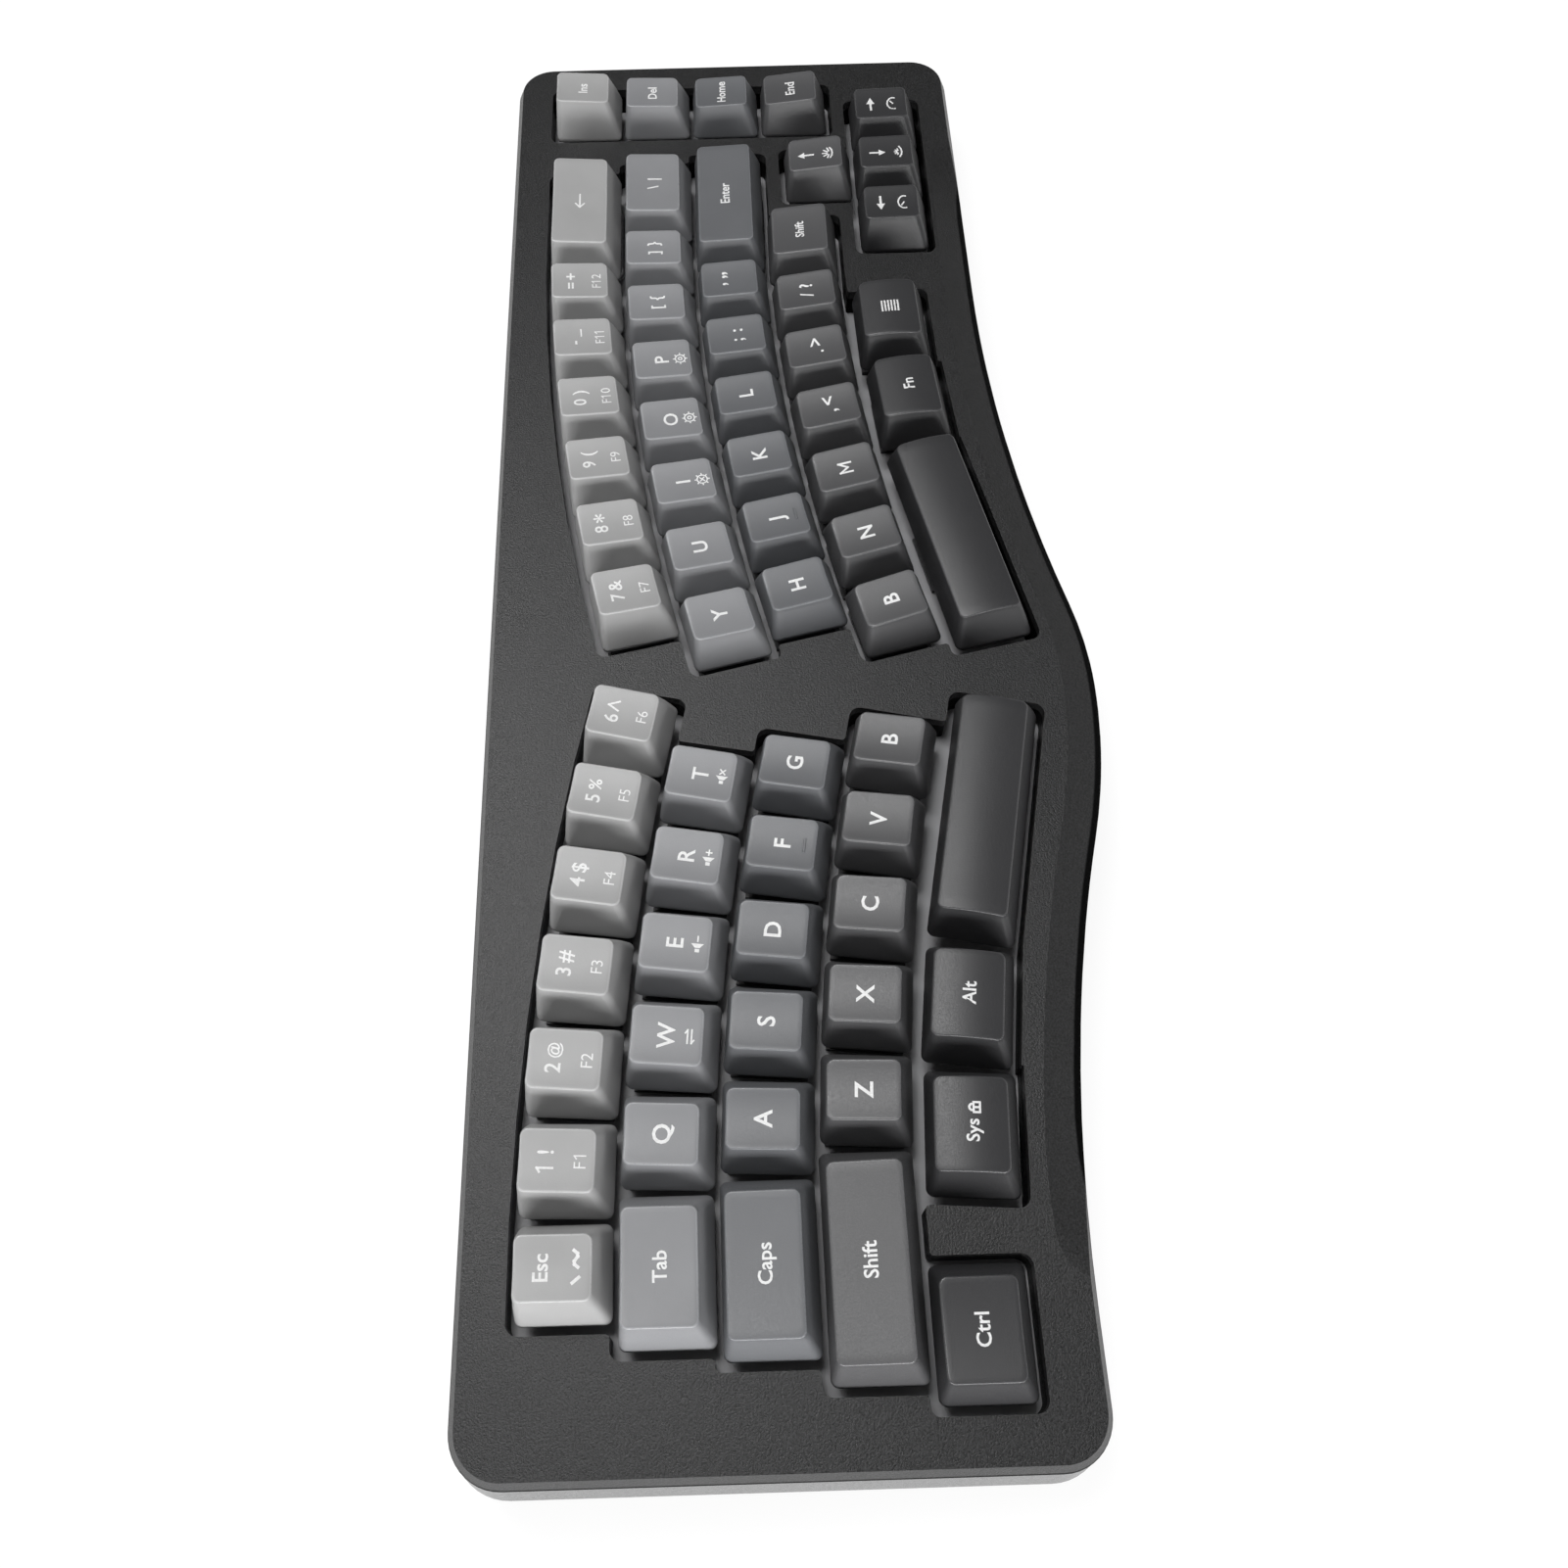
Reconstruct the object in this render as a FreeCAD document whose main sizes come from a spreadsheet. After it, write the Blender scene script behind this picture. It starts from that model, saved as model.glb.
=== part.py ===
import FreeCAD, Part
import math
import os
from FreeCAD import Placement, Rotation, Vector

# Ergonomic keyboard: two fans of keys that turn towards each other, an arrow cluster and a
# navigation column, set in a wedge-shaped case whose front edge bulges between the hands.
# The pieces are drawn in the frame of the key deck: X to the typist's right, Y to the rear,
# Z square to the deck, with the origin under the escape key on top of the switch plate.
# At the end the whole keyboard is tipped to its typing angle and centred on the desk.

SIZES = [
    ("key_pitch", 19.05, "from one key's centre to the next"),
    ("fan_radius", 545, "radius of the curve that the top row of a fan follows"),
    ("left_fan_x", 0, "where the left fan's curves run level"),
    ("right_fan_x", 262.1, "where the right fan's curves run level"),
    ("backspace_x", 268.7, "centre of the backspace key"),
    ("backslash_x", 277, "centre of the backslash key"),
    ("enter_x", 272.9, "centre of the enter key"),
    ("right_shift_x", 258.1, "centre of the right shift key"),
    ("navigation_x", 312.3, "centre of the navigation column"),
    ("down_arrow_x", 286, "centre of the up and down arrow keys"),
    ("up_arrow_y", -62.8, "centre of the up arrow key, to the rear"),
    ("control_x", -12.4, "centre of the control key"),
    ("super_x", 23.7, "centre of the super key"),
    ("super_turn", 3.8, "turn of the super key, in degrees"),
    ("alt_x", 49.1, "centre of the alt key"),
    ("alt_turn", 7.5, "turn of the alt key, in degrees"),
    ("left_space_x", 90.7, "centre of the left space bar"),
    ("left_space_y", -87.4, "centre of the left space bar, to the rear"),
    ("left_space_turn", 11.7, "turn of the left space bar, in degrees"),
    ("right_space_x", 162.6, "centre of the right space bar"),
    ("right_space_y", -88.7, "centre of the right space bar, to the rear"),
    ("right_space_turn", 12.3, "turn of the right space bar, in degrees"),
    ("function_x", 204, "centre of the function key"),
    ("function_turn", 5, "turn of the function key, in degrees"),
    ("menu_x", 229.4, "centre of the menu key"),
    ("menu_turn", 1.8, "turn of the menu key, in degrees"),
    ("bottom_row_drop", 1.1, "extra step from the bottom row's curve to its turned keys"),
    ("modifier_width", 1.33, "width of a bottom row modifier, in key pitches"),
    ("space_width", 3.03, "width of a space bar, in key pitches"),
    ("key_gap", 0.95, "between the skirts of neighbouring keys"),
    ("key_travel", 4, "how far a key goes down"),
    ("skirt_height", 6.2, "from the switch plate to a resting key's skirt"),
    ("cap_side_slope", 3.12, "how much narrower a key's top is, at each side"),
    ("cap_top_depth", 14.2, "depth of a key's top face"),
    ("cap_top_shift", 1.15, "how far a key's top sits behind its base"),
    ("cap_wall", 1.4, "wall of a keycap"),
    ("cap_roof", 1.7, "thickness of a keycap under its dish"),
    ("dish_depth", 0.55, "depth of the hollow in a key's top"),
    ("crown_height", 0.8, "height of the rounded top of a bottom row key"),
    ("cap_corner", 1.5, "rounding of a keycap's corners"),
    ("cap_edge", 0.35, "rounding of a keycap's top edge"),
    ("number_row_rear", 10.9, "skirt to rear edge of the top face, number row"),
    ("number_row_front", 10, "skirt to front edge of the top face, number row"),
    ("upper_row_rear", 8.6, "the same for the row under it"),
    ("upper_row_front", 8.2, "front edge of that row"),
    ("home_row_rear", 7.7, "rear edge, home row"),
    ("home_row_front", 8.4, "front edge, home row"),
    ("lower_row_rear", 7.9, "rear edge, lower row"),
    ("lower_row_front", 9.5, "front edge, lower row"),
    ("bottom_row_rear", 8.6, "rear edge, bottom row"),
    ("bottom_row_front", 9, "front edge, bottom row"),
    ("cross_length", 4.0, "arm of the cross on a switch stem"),
    ("cross_width", 1.2, "thickness of the cross's arms"),
    ("cross_height", 3.6, "height of the cross"),
    ("cross_clearance", 0.06, "play of the cross in its keycap"),
    ("cap_boss", 5.5, "diameter of the keycap's boss for the cross"),
    ("slider_length", 7.2, "switch stem's slider, side to side"),
    ("slider_width", 5.8, "switch stem's slider, front to rear"),
    ("slider_bottom", 1.0, "resting height of the slider's lower end over the plate"),
    ("slider_clearance", 0.12, "play of the slider in its housing"),
    ("housing_height", 6.6, "switch housing over the plate"),
    ("housing_depth", 5.0, "switch housing under the plate's top"),
    ("housing_flange", 15.6, "width of the flange that rests on the plate"),
    ("housing_flange_height", 1, "thickness of that flange"),
    ("housing_top", 10.8, "width of the switch housing's top"),
    ("housing_post", 4.0, "diameter of the post that goes through the circuit board"),
    ("housing_floor", 1.0, "thickness of the switch housing's floor"),
    ("plate_hole", 14, "square hole for a switch"),
    ("fit_clearance", 0.05, "play of a housing or post in its hole"),
    ("spring_diameter", 4.0, "outside of a switch spring"),
    ("spring_wire", 0.35, "wall of a switch spring"),
    ("spring_seat", 3.4, "from the slider's lower end up to the spring's seat"),
    ("plate_thickness", 1.5, "steel switch plate"),
    ("board_thickness", 1.6, "circuit board"),
    ("stabiliser_reach", 11.9, "stabiliser stems from the centre of a wide key"),
    ("space_stabiliser_reach", 19.05, "stabiliser stems from the centre of a space bar"),
    ("stabiliser_width", 6.7, "stabiliser housing, side to side"),
    ("stabiliser_length", 12.2, "stabiliser housing, front to rear"),
    ("stabiliser_height", 2.3, "stabiliser housing over the plate"),
    ("stabiliser_flange", 0.6, "its flange beyond the body, at each side"),
    ("stabiliser_flange_height", 0.8, "thickness of that flange"),
    ("stabiliser_slider", 4.2, "stabiliser stem, side to side"),
    ("wire_diameter", 1.5, "stabiliser wire"),
    ("wire_y", -8.9, "centre of the wire in front of the switch"),
    ("wire_bend", 1.8, "radius of the wire's two bends"),
    ("wire_end", 0.1, "shortest straight end of the wire"),
    ("case_left", -35.9, "left side of the case's seam"),
    ("case_right", 332.9, "right side of the case's seam"),
    ("case_rear", 20.5, "rear side of the case's seam"),
    ("case_front_left", -98.3, "straight front edge at the left end"),
    ("case_front_right", -101.2, "straight front edge at the right end"),
    ("bulge_x", 124, "middle of the bulge in the front edge"),
    ("bulge_y", -116.4, "foremost point of the bulge"),
    ("bulge_start_x", -9, "where the front edge starts to curve"),
    ("bulge_end_x", 245, "where the front edge is straight again"),
    ("bulge_left_radius", 140, "radius of the bulge's nose to the left of its middle"),
    ("bulge_right_radius", 90, "radius of the bulge's nose to the right of its middle"),
    ("case_corner", 10, "corner radius of the case"),
    ("deck_rise", 1.2, "deck over the skirts of resting keys"),
    ("deck_thickness", 2.4, "top case wall over the cavity"),
    ("side_bevel", 1.4, "width of the bevel at the sides and rear"),
    ("front_bevel", 7.8, "width of the bevel along the front"),
    ("bevel_drop", 2.8, "height of the bevel at the sides and rear"),
    ("front_drop", 2.95, "height of the bevel along the front"),
    ("bevel_fade", 35, "length over which the front bevel fades out near a corner"),
    ("bevel_lift", 0.4, "how far its faded end passes over the deck"),
    ("rim_lip", 0.6, "straight edge under the bevel"),
    ("seam_gap", 0.3, "groove between the top and bottom case"),
    ("window_gap", 1.55, "between a key's skirt and the deck"),
    ("window_corner", 2.4, "corner radius of the openings in the deck"),
    ("step_corner", 0.8, "radius where the deck steps into an opening"),
    ("window_wall", 1.4, "wall that hangs from the deck round an opening"),
    ("wall", 2.2, "wall of the bottom case"),
    ("flare", 1.45, "how far the bottom case leans out"),
    ("flare_depth", 11, "height over which it leans out"),
    ("floor_thickness", 2.2, "floor of the bottom case"),
    ("front_height", 16.4, "from the underside of the case's front to the seam"),
    ("typing_angle", 5, "slope of the deck, in degrees"),
    ("cavity_margin", 1, "from the front bevel's crease to the top case's cavity"),
    ("lip_depth", 2.8, "tongue of the top case inside the bottom case"),
    ("lip_thickness", 1.3, "thickness of that tongue"),
    ("lip_clearance", 0.3, "play of that tongue"),
    ("plate_side_inset", 5, "switch plate inside the case's sides"),
    ("plate_front_inset", 11.5, "switch plate inside the case's front"),
    ("plate_margin", 0.3, "switch plate beyond the arrow keys' pitch"),
    ("board_inset", 1, "circuit board inside the plate's edge"),
    ("screw_shank", 2.5, "case screw"),
    ("screw_head", 4.6, "head of a case screw"),
    ("screw_head_height", 1.8, "height of that head"),
    ("screw_seat", 8.8, "depth of the screw heads' seat under the plate's top"),
    ("screw_engagement", 3.6, "screw in the top case's boss, over the plate"),
    ("socket_recess", 1.6, "depth of the star socket in a screw head"),
    ("screw_clearance", 0.15, "play round a screw"),
    ("boss_diameter", 6.4, "screw boss of the top case"),
    ("pillar_diameter", 8.2, "screw pillar of the bottom case"),
    ("pillar_gap", 1, "between a front pillar and the bottom case's wall"),
    ("left_screw_x", 12.5, "rear left screw, from the case's left side"),
    ("left_screw_y", 12, "rear left screw, from the case's rear"),
    ("middle_screw_x", 5.5, "rear middle screw, to the right of the bulge's middle"),
    ("middle_screw_y", 13, "rear middle screw, from the case's rear"),
    ("right_screw_x", 17.1, "rear right screw, to the left of the navigation column"),
    ("right_screw_y", 15, "rear right screw, from the case's rear"),
    ("centre_screw_x", 1, "centre screw, to the right of the bulge's middle"),
    ("centre_screw_y", 64, "centre screw, behind the bulge's foremost point"),
    ("menu_screw_x", 20.5, "screw to the right of the menu key"),
    ("menu_screw_y", 2, "that screw, in front of the bottom row's centre"),
    ("board_hole_clearance", 0.5, "between a pillar and the circuit board"),
    ("foot_length", 32, "rubber foot, side to side"),
    ("foot_width", 8, "rubber foot, front to rear"),
    ("foot_height", 2.1, "rubber foot, from its recess to the desk"),
    ("foot_recess", 0.6, "depth of the recess for a foot"),
    ("foot_round", 0.9, "rounding of a foot's ends, as a share of half its width"),
    ("foot_inset", 34, "foot's centre inside the case's sides"),
    ("foot_front_inset", 18, "foot's centre inside the case's front"),
    ("foot_rear_inset", 24, "foot's centre inside the case's rear"),
    ("socket_x", 66, "centre of the cable socket on the rear wall"),
    ("socket_width", 8.94, "cable socket"),
    ("socket_height", 3.26, "cable socket"),
    ("socket_length", 7.6, "cable socket"),
    ("socket_wall", 0.3, "sheet of the socket's shell"),
    ("socket_back", 1, "rear wall of the socket's shell"),
    ("socket_corner", 1.304, "rounding of the socket's shell"),
    ("tongue_width", 6.258, "tongue in the socket"),
    ("tongue_thickness", 0.652, "that tongue"),
    ("tongue_set_back", 1.1, "the tongue's tip inside the socket's mouth"),
    ("socket_set_back", 0.4, "socket's mouth inside the case's rear face"),
    ("socket_play", 0.4, "opening in the case round the socket"),
    ("socket_passage", 20, "length of the cut for that opening"),
]

doc = FreeCAD.newDocument("ergonomic_keyboard")
sheet = doc.addObject("Spreadsheet::Sheet", "sizes")
for line, (alias, value, meaning) in enumerate(SIZES, 1):
    sheet.set(f"A{line}", meaning)
    sheet.set(f"B{line}", str(value))
    sheet.setAlias(f"B{line}", alias)
doc.recompute()


def size(alias):
    return float(sheet.get(alias))


class Sizes:
    def __getattr__(self, alias):
        return size(alias)


s = Sizes()
skirt_z = s.skirt_height
deck_z = s.skirt_height + s.deck_rise
rim_z = deck_z - s.bevel_drop
seam_z = rim_z - s.rim_lip
base_width = s.key_pitch - s.key_gap
board_z = -s.housing_depth
far = 80.0
near = 0.01


# Rows of keys, from the outer end of each fan to its inner end.

NUMBER, UPPER, HOME, LOWER, BOTTOM = range(5)
ROW_NAMES = ["number_row", "upper_row", "home_row", "lower_row", "bottom_row"]

OUTER_LEFT = [("escape", 1), ("tab", 1.5), ("caps_lock", 1.75), ("left_shift", 2.25)]
LEFT_FAN = [
    ["digit_1", "digit_2", "digit_3", "digit_4", "digit_5", "digit_6"],
    ["q", "w", "e", "r", "t"],
    ["a", "s", "d", "f", "g"],
    ["z", "x", "c", "v", "left_b"],
]
OUTER_RIGHT = [
    ("backspace", 2, "backspace_x"),
    ("backslash", 1.5, "backslash_x"),
    ("enter", 2.25, "enter_x"),
    ("right_shift", 1.25, "right_shift_x"),
]
RIGHT_FAN = [
    ["equals", "minus", "digit_0", "digit_9", "digit_8", "digit_7"],
    ["right_bracket", "left_bracket", "p", "o", "i", "u", "y"],
    ["apostrophe", "semicolon", "l", "k", "j", "h"],
    ["slash", "period", "comma", "m", "n", "right_b"],
]
NAVIGATION = ["insert", "delete", "home", "end"]

GROUPS = {
    "digit_keys_left": LEFT_FAN[NUMBER],
    "digit_keys_right": RIGHT_FAN[NUMBER],
    "punctuation_keys": [
        "right_bracket", "left_bracket", "backslash", "apostrophe", "semicolon",
        "slash", "period", "comma",
    ],
    "navigation_keys": NAVIGATION,
}


class Key:
    def __init__(self, name, row, width, x, y, turn, crowned=False, reach=0.0):
        self.name = name
        self.row = row
        self.width = width
        self.x = x
        self.y = y
        self.turn = turn
        self.crowned = crowned
        self.reach = reach

    def placement(self, z=0.0):
        return Placement(Vector(self.x, self.y, z), Rotation(Vector(0, 0, 1), self.turn))


def fan_keys(names, row, fan_x, first_x, side):
    """One row of a fan: keys a pitch apart on an arc, from the outer end inwards."""
    radius = s.fan_radius - row * s.key_pitch
    angle = math.asin(side * (first_x - fan_x) / radius)
    step = 2 * math.asin(s.key_pitch / 2 / radius)
    row_keys = []
    for name in names:
        x = fan_x + side * radius * math.sin(angle)
        y = radius * math.cos(angle) - s.fan_radius
        row_keys.append(Key(name, row, 1, x, y, -side * math.degrees(angle)))
        angle += step
    return row_keys


def wide_reach(width):
    """Keys of two pitches and more have stabilisers."""
    return s.stabiliser_reach if width >= 2 else 0.0


def bottom_key_y(x, fan_x):
    radius = s.fan_radius - BOTTOM * s.key_pitch
    return math.sqrt(radius ** 2 - (x - fan_x) ** 2) - s.fan_radius - s.bottom_row_drop


def bottom_keys():
    wide = s.modifier_width
    left = s.left_fan_x
    right = s.right_fan_x
    bar = s.space_width
    reach = s.space_stabiliser_reach
    bottom_y = -BOTTOM * s.key_pitch
    arrow_y = s.up_arrow_y - s.key_pitch
    down_x = s.down_arrow_x
    return [
        Key("control", BOTTOM, wide, s.control_x, bottom_y, 0),
        Key("super", BOTTOM, wide, s.super_x, bottom_key_y(s.super_x, left), -s.super_turn, True),
        Key("alt", BOTTOM, wide, s.alt_x, bottom_key_y(s.alt_x, left), -s.alt_turn, True),
        Key("left_space", BOTTOM, bar, s.left_space_x, s.left_space_y, -s.left_space_turn,
            True, reach),
        Key("right_space", BOTTOM, bar, s.right_space_x, s.right_space_y, s.right_space_turn,
            True, reach),
        Key("function", BOTTOM, wide, s.function_x, bottom_key_y(s.function_x, right),
            s.function_turn, True),
        Key("menu", BOTTOM, wide, s.menu_x, bottom_key_y(s.menu_x, right), s.menu_turn, True),
        Key("up_arrow", LOWER, 1, down_x, s.up_arrow_y, 0),
        Key("left_arrow", BOTTOM, 1, down_x - s.key_pitch, arrow_y, 0),
        Key("down_arrow", BOTTOM, 1, down_x, arrow_y, 0),
        Key("right_arrow", BOTTOM, 1, down_x + s.key_pitch, arrow_y, 0),
    ]


def lay_out_keys():
    keys = []
    for row in range(BOTTOM):
        y = -row * s.key_pitch
        name, width = OUTER_LEFT[row]
        keys.append(Key(name, row, width, 0, y, 0, reach=wide_reach(width)))
        first_x = (width + 1) / 2 * s.key_pitch
        keys += fan_keys(LEFT_FAN[row], row, s.left_fan_x, first_x, 1)
        name, width, place = OUTER_RIGHT[row]
        keys.append(Key(name, row, width, size(place), y, 0, reach=wide_reach(width)))
        first_x = size(place) - (width + 1) / 2 * s.key_pitch
        keys += fan_keys(RIGHT_FAN[row], row, s.right_fan_x, first_x, -1)
        keys.append(Key(NAVIGATION[row], row, 1, s.navigation_x, y, 0))
    return keys + bottom_keys()


keys = lay_out_keys()


# Small makers for the document's objects.

def new(kind, name, placement=None, **sizes):
    thing = doc.addObject(kind, name)
    for prop, value in sizes.items():
        if isinstance(value, str):
            thing.setExpression(prop, value)
        else:
            setattr(thing, prop, value)
    if placement is not None:
        thing.Placement = placement
    return thing


def at(x, y, z, turn=0.0, axis=Vector(0, 0, 1)):
    return Placement(Vector(x, y, z), Rotation(axis, turn))


def box(name, length, width, height, x=0.0, y=0.0, z=0.0):
    """A box centred on x and y that stands on z."""
    thing = new("Part::Box", name, Length=length, Width=width, Height=height)
    doc.recompute([thing])
    thing.Placement = at(x - thing.Length.Value / 2, y - thing.Width.Value / 2, z)
    return thing


def cylinder(name, diameter, height, x=0.0, y=0.0, z=0.0):
    return new("Part::Cylinder", name, at(x, y, z), Radius=f"({diameter}) / 2", Height=height)


def frustum(name, base_x, base_y, top_x, top_y, height, shift=0.0, z=0.0):
    """A block on a rectangle, with a smaller rectangle on top that is moved back by shift."""
    thing = new(
        "Part::Wedge", name, at(0, 0, z, 90, Vector(1, 0, 0)),
        Xmin=-base_x / 2, Xmax=base_x / 2, Zmin=-base_y / 2, Zmax=base_y / 2,
        X2min=-top_x / 2, X2max=top_x / 2, Z2min=-top_y / 2 - shift, Z2max=top_y / 2 - shift,
        Ymin=0.0, Ymax=height,
    )
    return thing


def fuse(name, parts):
    return new("Part::MultiFuse", name, Shapes=parts)


def cut(name, base, tool):
    return new("Part::Cut", name, Base=base, Tool=tool)


def group(name, parts, placement=None):
    return new("Part::Compound", name, placement, Links=parts)


def solid_feature(name, shape):
    thing = doc.addObject("Part::Feature", name)
    thing.Shape = shape
    return thing


def extrusion(name, face, bottom, height):
    thing = new("Part::Extrusion", name, Base=face, Dir=Vector(0, 0, 1), Solid=True)
    thing.LengthFwd = height
    thing.Placement = at(0, 0, bottom)
    return thing


def fillet(name, base, edges, radius):
    """Round the numbered edges of a base."""
    thing = new("Part::Fillet", name, Base=base)
    thing.Edges = [(number, radius, radius) for number in edges]
    return thing


# Keycaps: a tapered shell with a hollowed or crowned top and a boss for each stem.

def row_heights(row):
    return size(ROW_NAMES[row] + "_rear"), size(ROW_NAMES[row] + "_front")


def cross(name, length, width, height, z, x=0.0):
    arms = [
        box(name + "_side_arm", length, width, height, x, 0, z),
        box(name + "_front_arm", width, length, height, x, 0, z),
    ]
    return fuse(name, arms)


def stem_places(reach):
    return [0.0] if reach == 0 else [0.0, -reach, reach]


def leaning_edges(shape):
    """The four edges that climb from the skirt to the top."""
    found = []
    for number, edge in enumerate(shape.Edges, 1):
        heights = [vertex.Z for vertex in edge.Vertexes]
        if min(heights) < near < max(heights):
            found.append(number)
    return found


def top_edges(shape):
    """The edges round the top face: none of them reaches down to the skirt."""
    highest = shape.BoundBox.ZMax
    found = []
    for number, edge in enumerate(shape.Edges, 1):
        if edge.BoundBox.ZMin > 0.5 * highest:
            found.append(number)
    return found


def over_top(rear, front):
    """The frame on the middle of a cap's sloping top face."""
    slope = math.degrees(math.atan2(rear - front, s.cap_top_depth))
    place = Vector(0, s.cap_top_shift, (rear + front) / 2)
    return Placement(place, Rotation(Vector(1, 0, 0), slope))


def dished(name, block, half_width, rear, front):
    """Take off what lies over a lying roller, which leaves a shallow hollow."""
    radius = (half_width ** 2 + s.dish_depth ** 2) / (2 * s.dish_depth)
    roller = new("Part::Cylinder", name + "_roller", Radius=radius, Height=far)
    lying = Placement(Vector(0, far / 2, radius - s.dish_depth), Rotation(Vector(1, 0, 0), 90))
    roller.Placement = over_top(rear, front).multiply(lying)
    return cut(name, block, roller)


def crowned(name, block, rear, front):
    """Leave what lies under a wide barrel, which rounds the top from front to rear."""
    half = s.cap_top_depth / 2
    radius = (half ** 2 + s.crown_height ** 2) / (2 * s.crown_height)
    barrel = new("Part::Cylinder", name + "_barrel", Radius=radius, Height=3 * far)
    lying = Placement(Vector(-1.5 * far, 0, s.crown_height - radius),
                      Rotation(Vector(0, 1, 0), 90))
    barrel.Placement = over_top(rear, front).multiply(lying)
    return new("Part::Common", name, Base=block, Tool=barrel)


def tapered(name, long, deep, height, full_height):
    """A block with the slopes of a cap of the full height, cut off at another height."""
    share = height / full_height
    top_long = long - 2 * s.cap_side_slope * share
    top_deep = deep - (base_width - s.cap_top_depth) * share
    return frustum(name, long, deep, top_long, top_deep, height, s.cap_top_shift * share)


def make_cap(name, key):
    rear, front = row_heights(key.row)
    middle = (rear + front) / 2
    long = key.width * s.key_pitch - s.key_gap
    block = tapered(name + "_block", long, base_width, max(rear, front) + s.crown_height, middle)
    if key.crowned:
        shaped = crowned(name + "_shaped", block, rear, front)
    else:
        shaped = dished(name + "_shaped", block, long / 2 - s.cap_side_slope, rear, front)
    doc.recompute()
    corners = fillet(name + "_corners", shaped, leaning_edges(shaped.Shape), s.cap_corner)
    doc.recompute()
    outer = fillet(name + "_outer", corners, top_edges(corners.Shape), s.cap_edge)
    inside = min(rear, front) - s.cap_roof
    if not key.crowned:
        inside -= s.dish_depth
    wall = 2 * s.cap_wall
    hollow = tapered(name + "_hollow", long - wall, base_width - wall, inside, middle)
    shell = cut(name + "_shell", outer, hollow)
    boss_foot = s.housing_height - skirt_z
    bosses = []
    slots = []
    play = 2 * s.cross_clearance
    for place in stem_places(key.reach):
        tag = f"{name}_boss_{len(bosses)}"
        bosses.append(cylinder(tag, s.cap_boss, inside - boss_foot + s.cap_roof / 2,
                               place, 0, boss_foot))
        slots.append(cross(tag + "_slot", s.cross_length + play, s.cross_width + play,
                           s.cross_height + play, boss_foot, place))
    whole = fuse(name + "_whole", [shell] + bosses)
    return cut(name, whole, fuse(name + "_slots", slots) if len(slots) > 1 else slots[0])


# Switches and stabilisers, each drawn once round the plate's top and then set in every place.

slider_top = s.housing_height - s.cross_clearance
slider_bore = s.spring_diameter + 2 * s.slider_clearance


def make_stem():
    """The slider that goes down in the switch, with the cross that holds the keycap."""
    low = s.slider_bottom
    body = box("stem_body", "sizes.slider_length", "sizes.slider_width", slider_top - low, z=low)
    post = cross("stem_cross", s.cross_length, s.cross_width, s.cross_height, slider_top)
    bore = cylinder("stem_bore", slider_bore, "sizes.spring_seat", z=low)
    return cut("switch_stem", fuse("stem_solid", [body, post]), bore)


def make_stabiliser_stem():
    low = s.key_travel - s.housing_depth + s.fit_clearance
    body = box("stabiliser_stem_body", s.stabiliser_slider, "sizes.slider_width",
               slider_top - low, z=low)
    post = cross("stabiliser_stem_cross", s.cross_length, s.cross_width, s.cross_height,
                 slider_top)
    return fuse("stabiliser_stem", [body, post])


def make_housing():
    hole = s.plate_hole - 2 * s.fit_clearance
    depth = s.housing_depth
    foot = box("housing_foot", hole, hole, depth, z=-depth)
    flange = box("housing_rim", "sizes.housing_flange", "sizes.housing_flange",
                 "sizes.housing_flange_height")
    upper = frustum("housing_upper", s.plate_hole, s.plate_hole, s.housing_top, s.housing_top,
                    s.housing_height)
    post = cylinder("housing_pin", "sizes.housing_post", depth, z=-depth - s.board_thickness)
    play = 2 * s.slider_clearance
    shaft = box("housing_shaft", s.slider_length + play, s.slider_width + play, far,
                z=s.housing_floor - depth)
    return cut("switch_housing", fuse("housing_solid", [foot, flange, upper, post]), shaft)


def make_spring():
    """The coil spring between the housing's floor and the slider, as a sleeve of its size."""
    foot = s.housing_floor - s.housing_depth
    tall = s.slider_bottom + s.spring_seat - foot
    outer = cylinder("spring_outer", "sizes.spring_diameter", tall, z=foot)
    inner = cylinder("spring_inner", "sizes.spring_diameter - 2 * sizes.spring_wire", tall, z=foot)
    return cut("switch_spring", outer, inner)


def make_stabiliser_housing():
    foot = -s.housing_depth
    tall = s.stabiliser_height - foot
    body = box("stabiliser_body", "sizes.stabiliser_width", "sizes.stabiliser_length", tall,
               z=foot)
    flange = box("stabiliser_rim", "sizes.stabiliser_width + 2 * sizes.stabiliser_flange",
                 "sizes.stabiliser_length + 2 * sizes.stabiliser_flange",
                 "sizes.stabiliser_flange_height")
    play = 2 * s.slider_clearance
    shaft = box("stabiliser_shaft", s.stabiliser_slider + play, s.slider_width + play, far,
                z=foot)
    return cut("stabiliser_housing", fuse("stabiliser_solid", [body, flange]), shaft)


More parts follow.
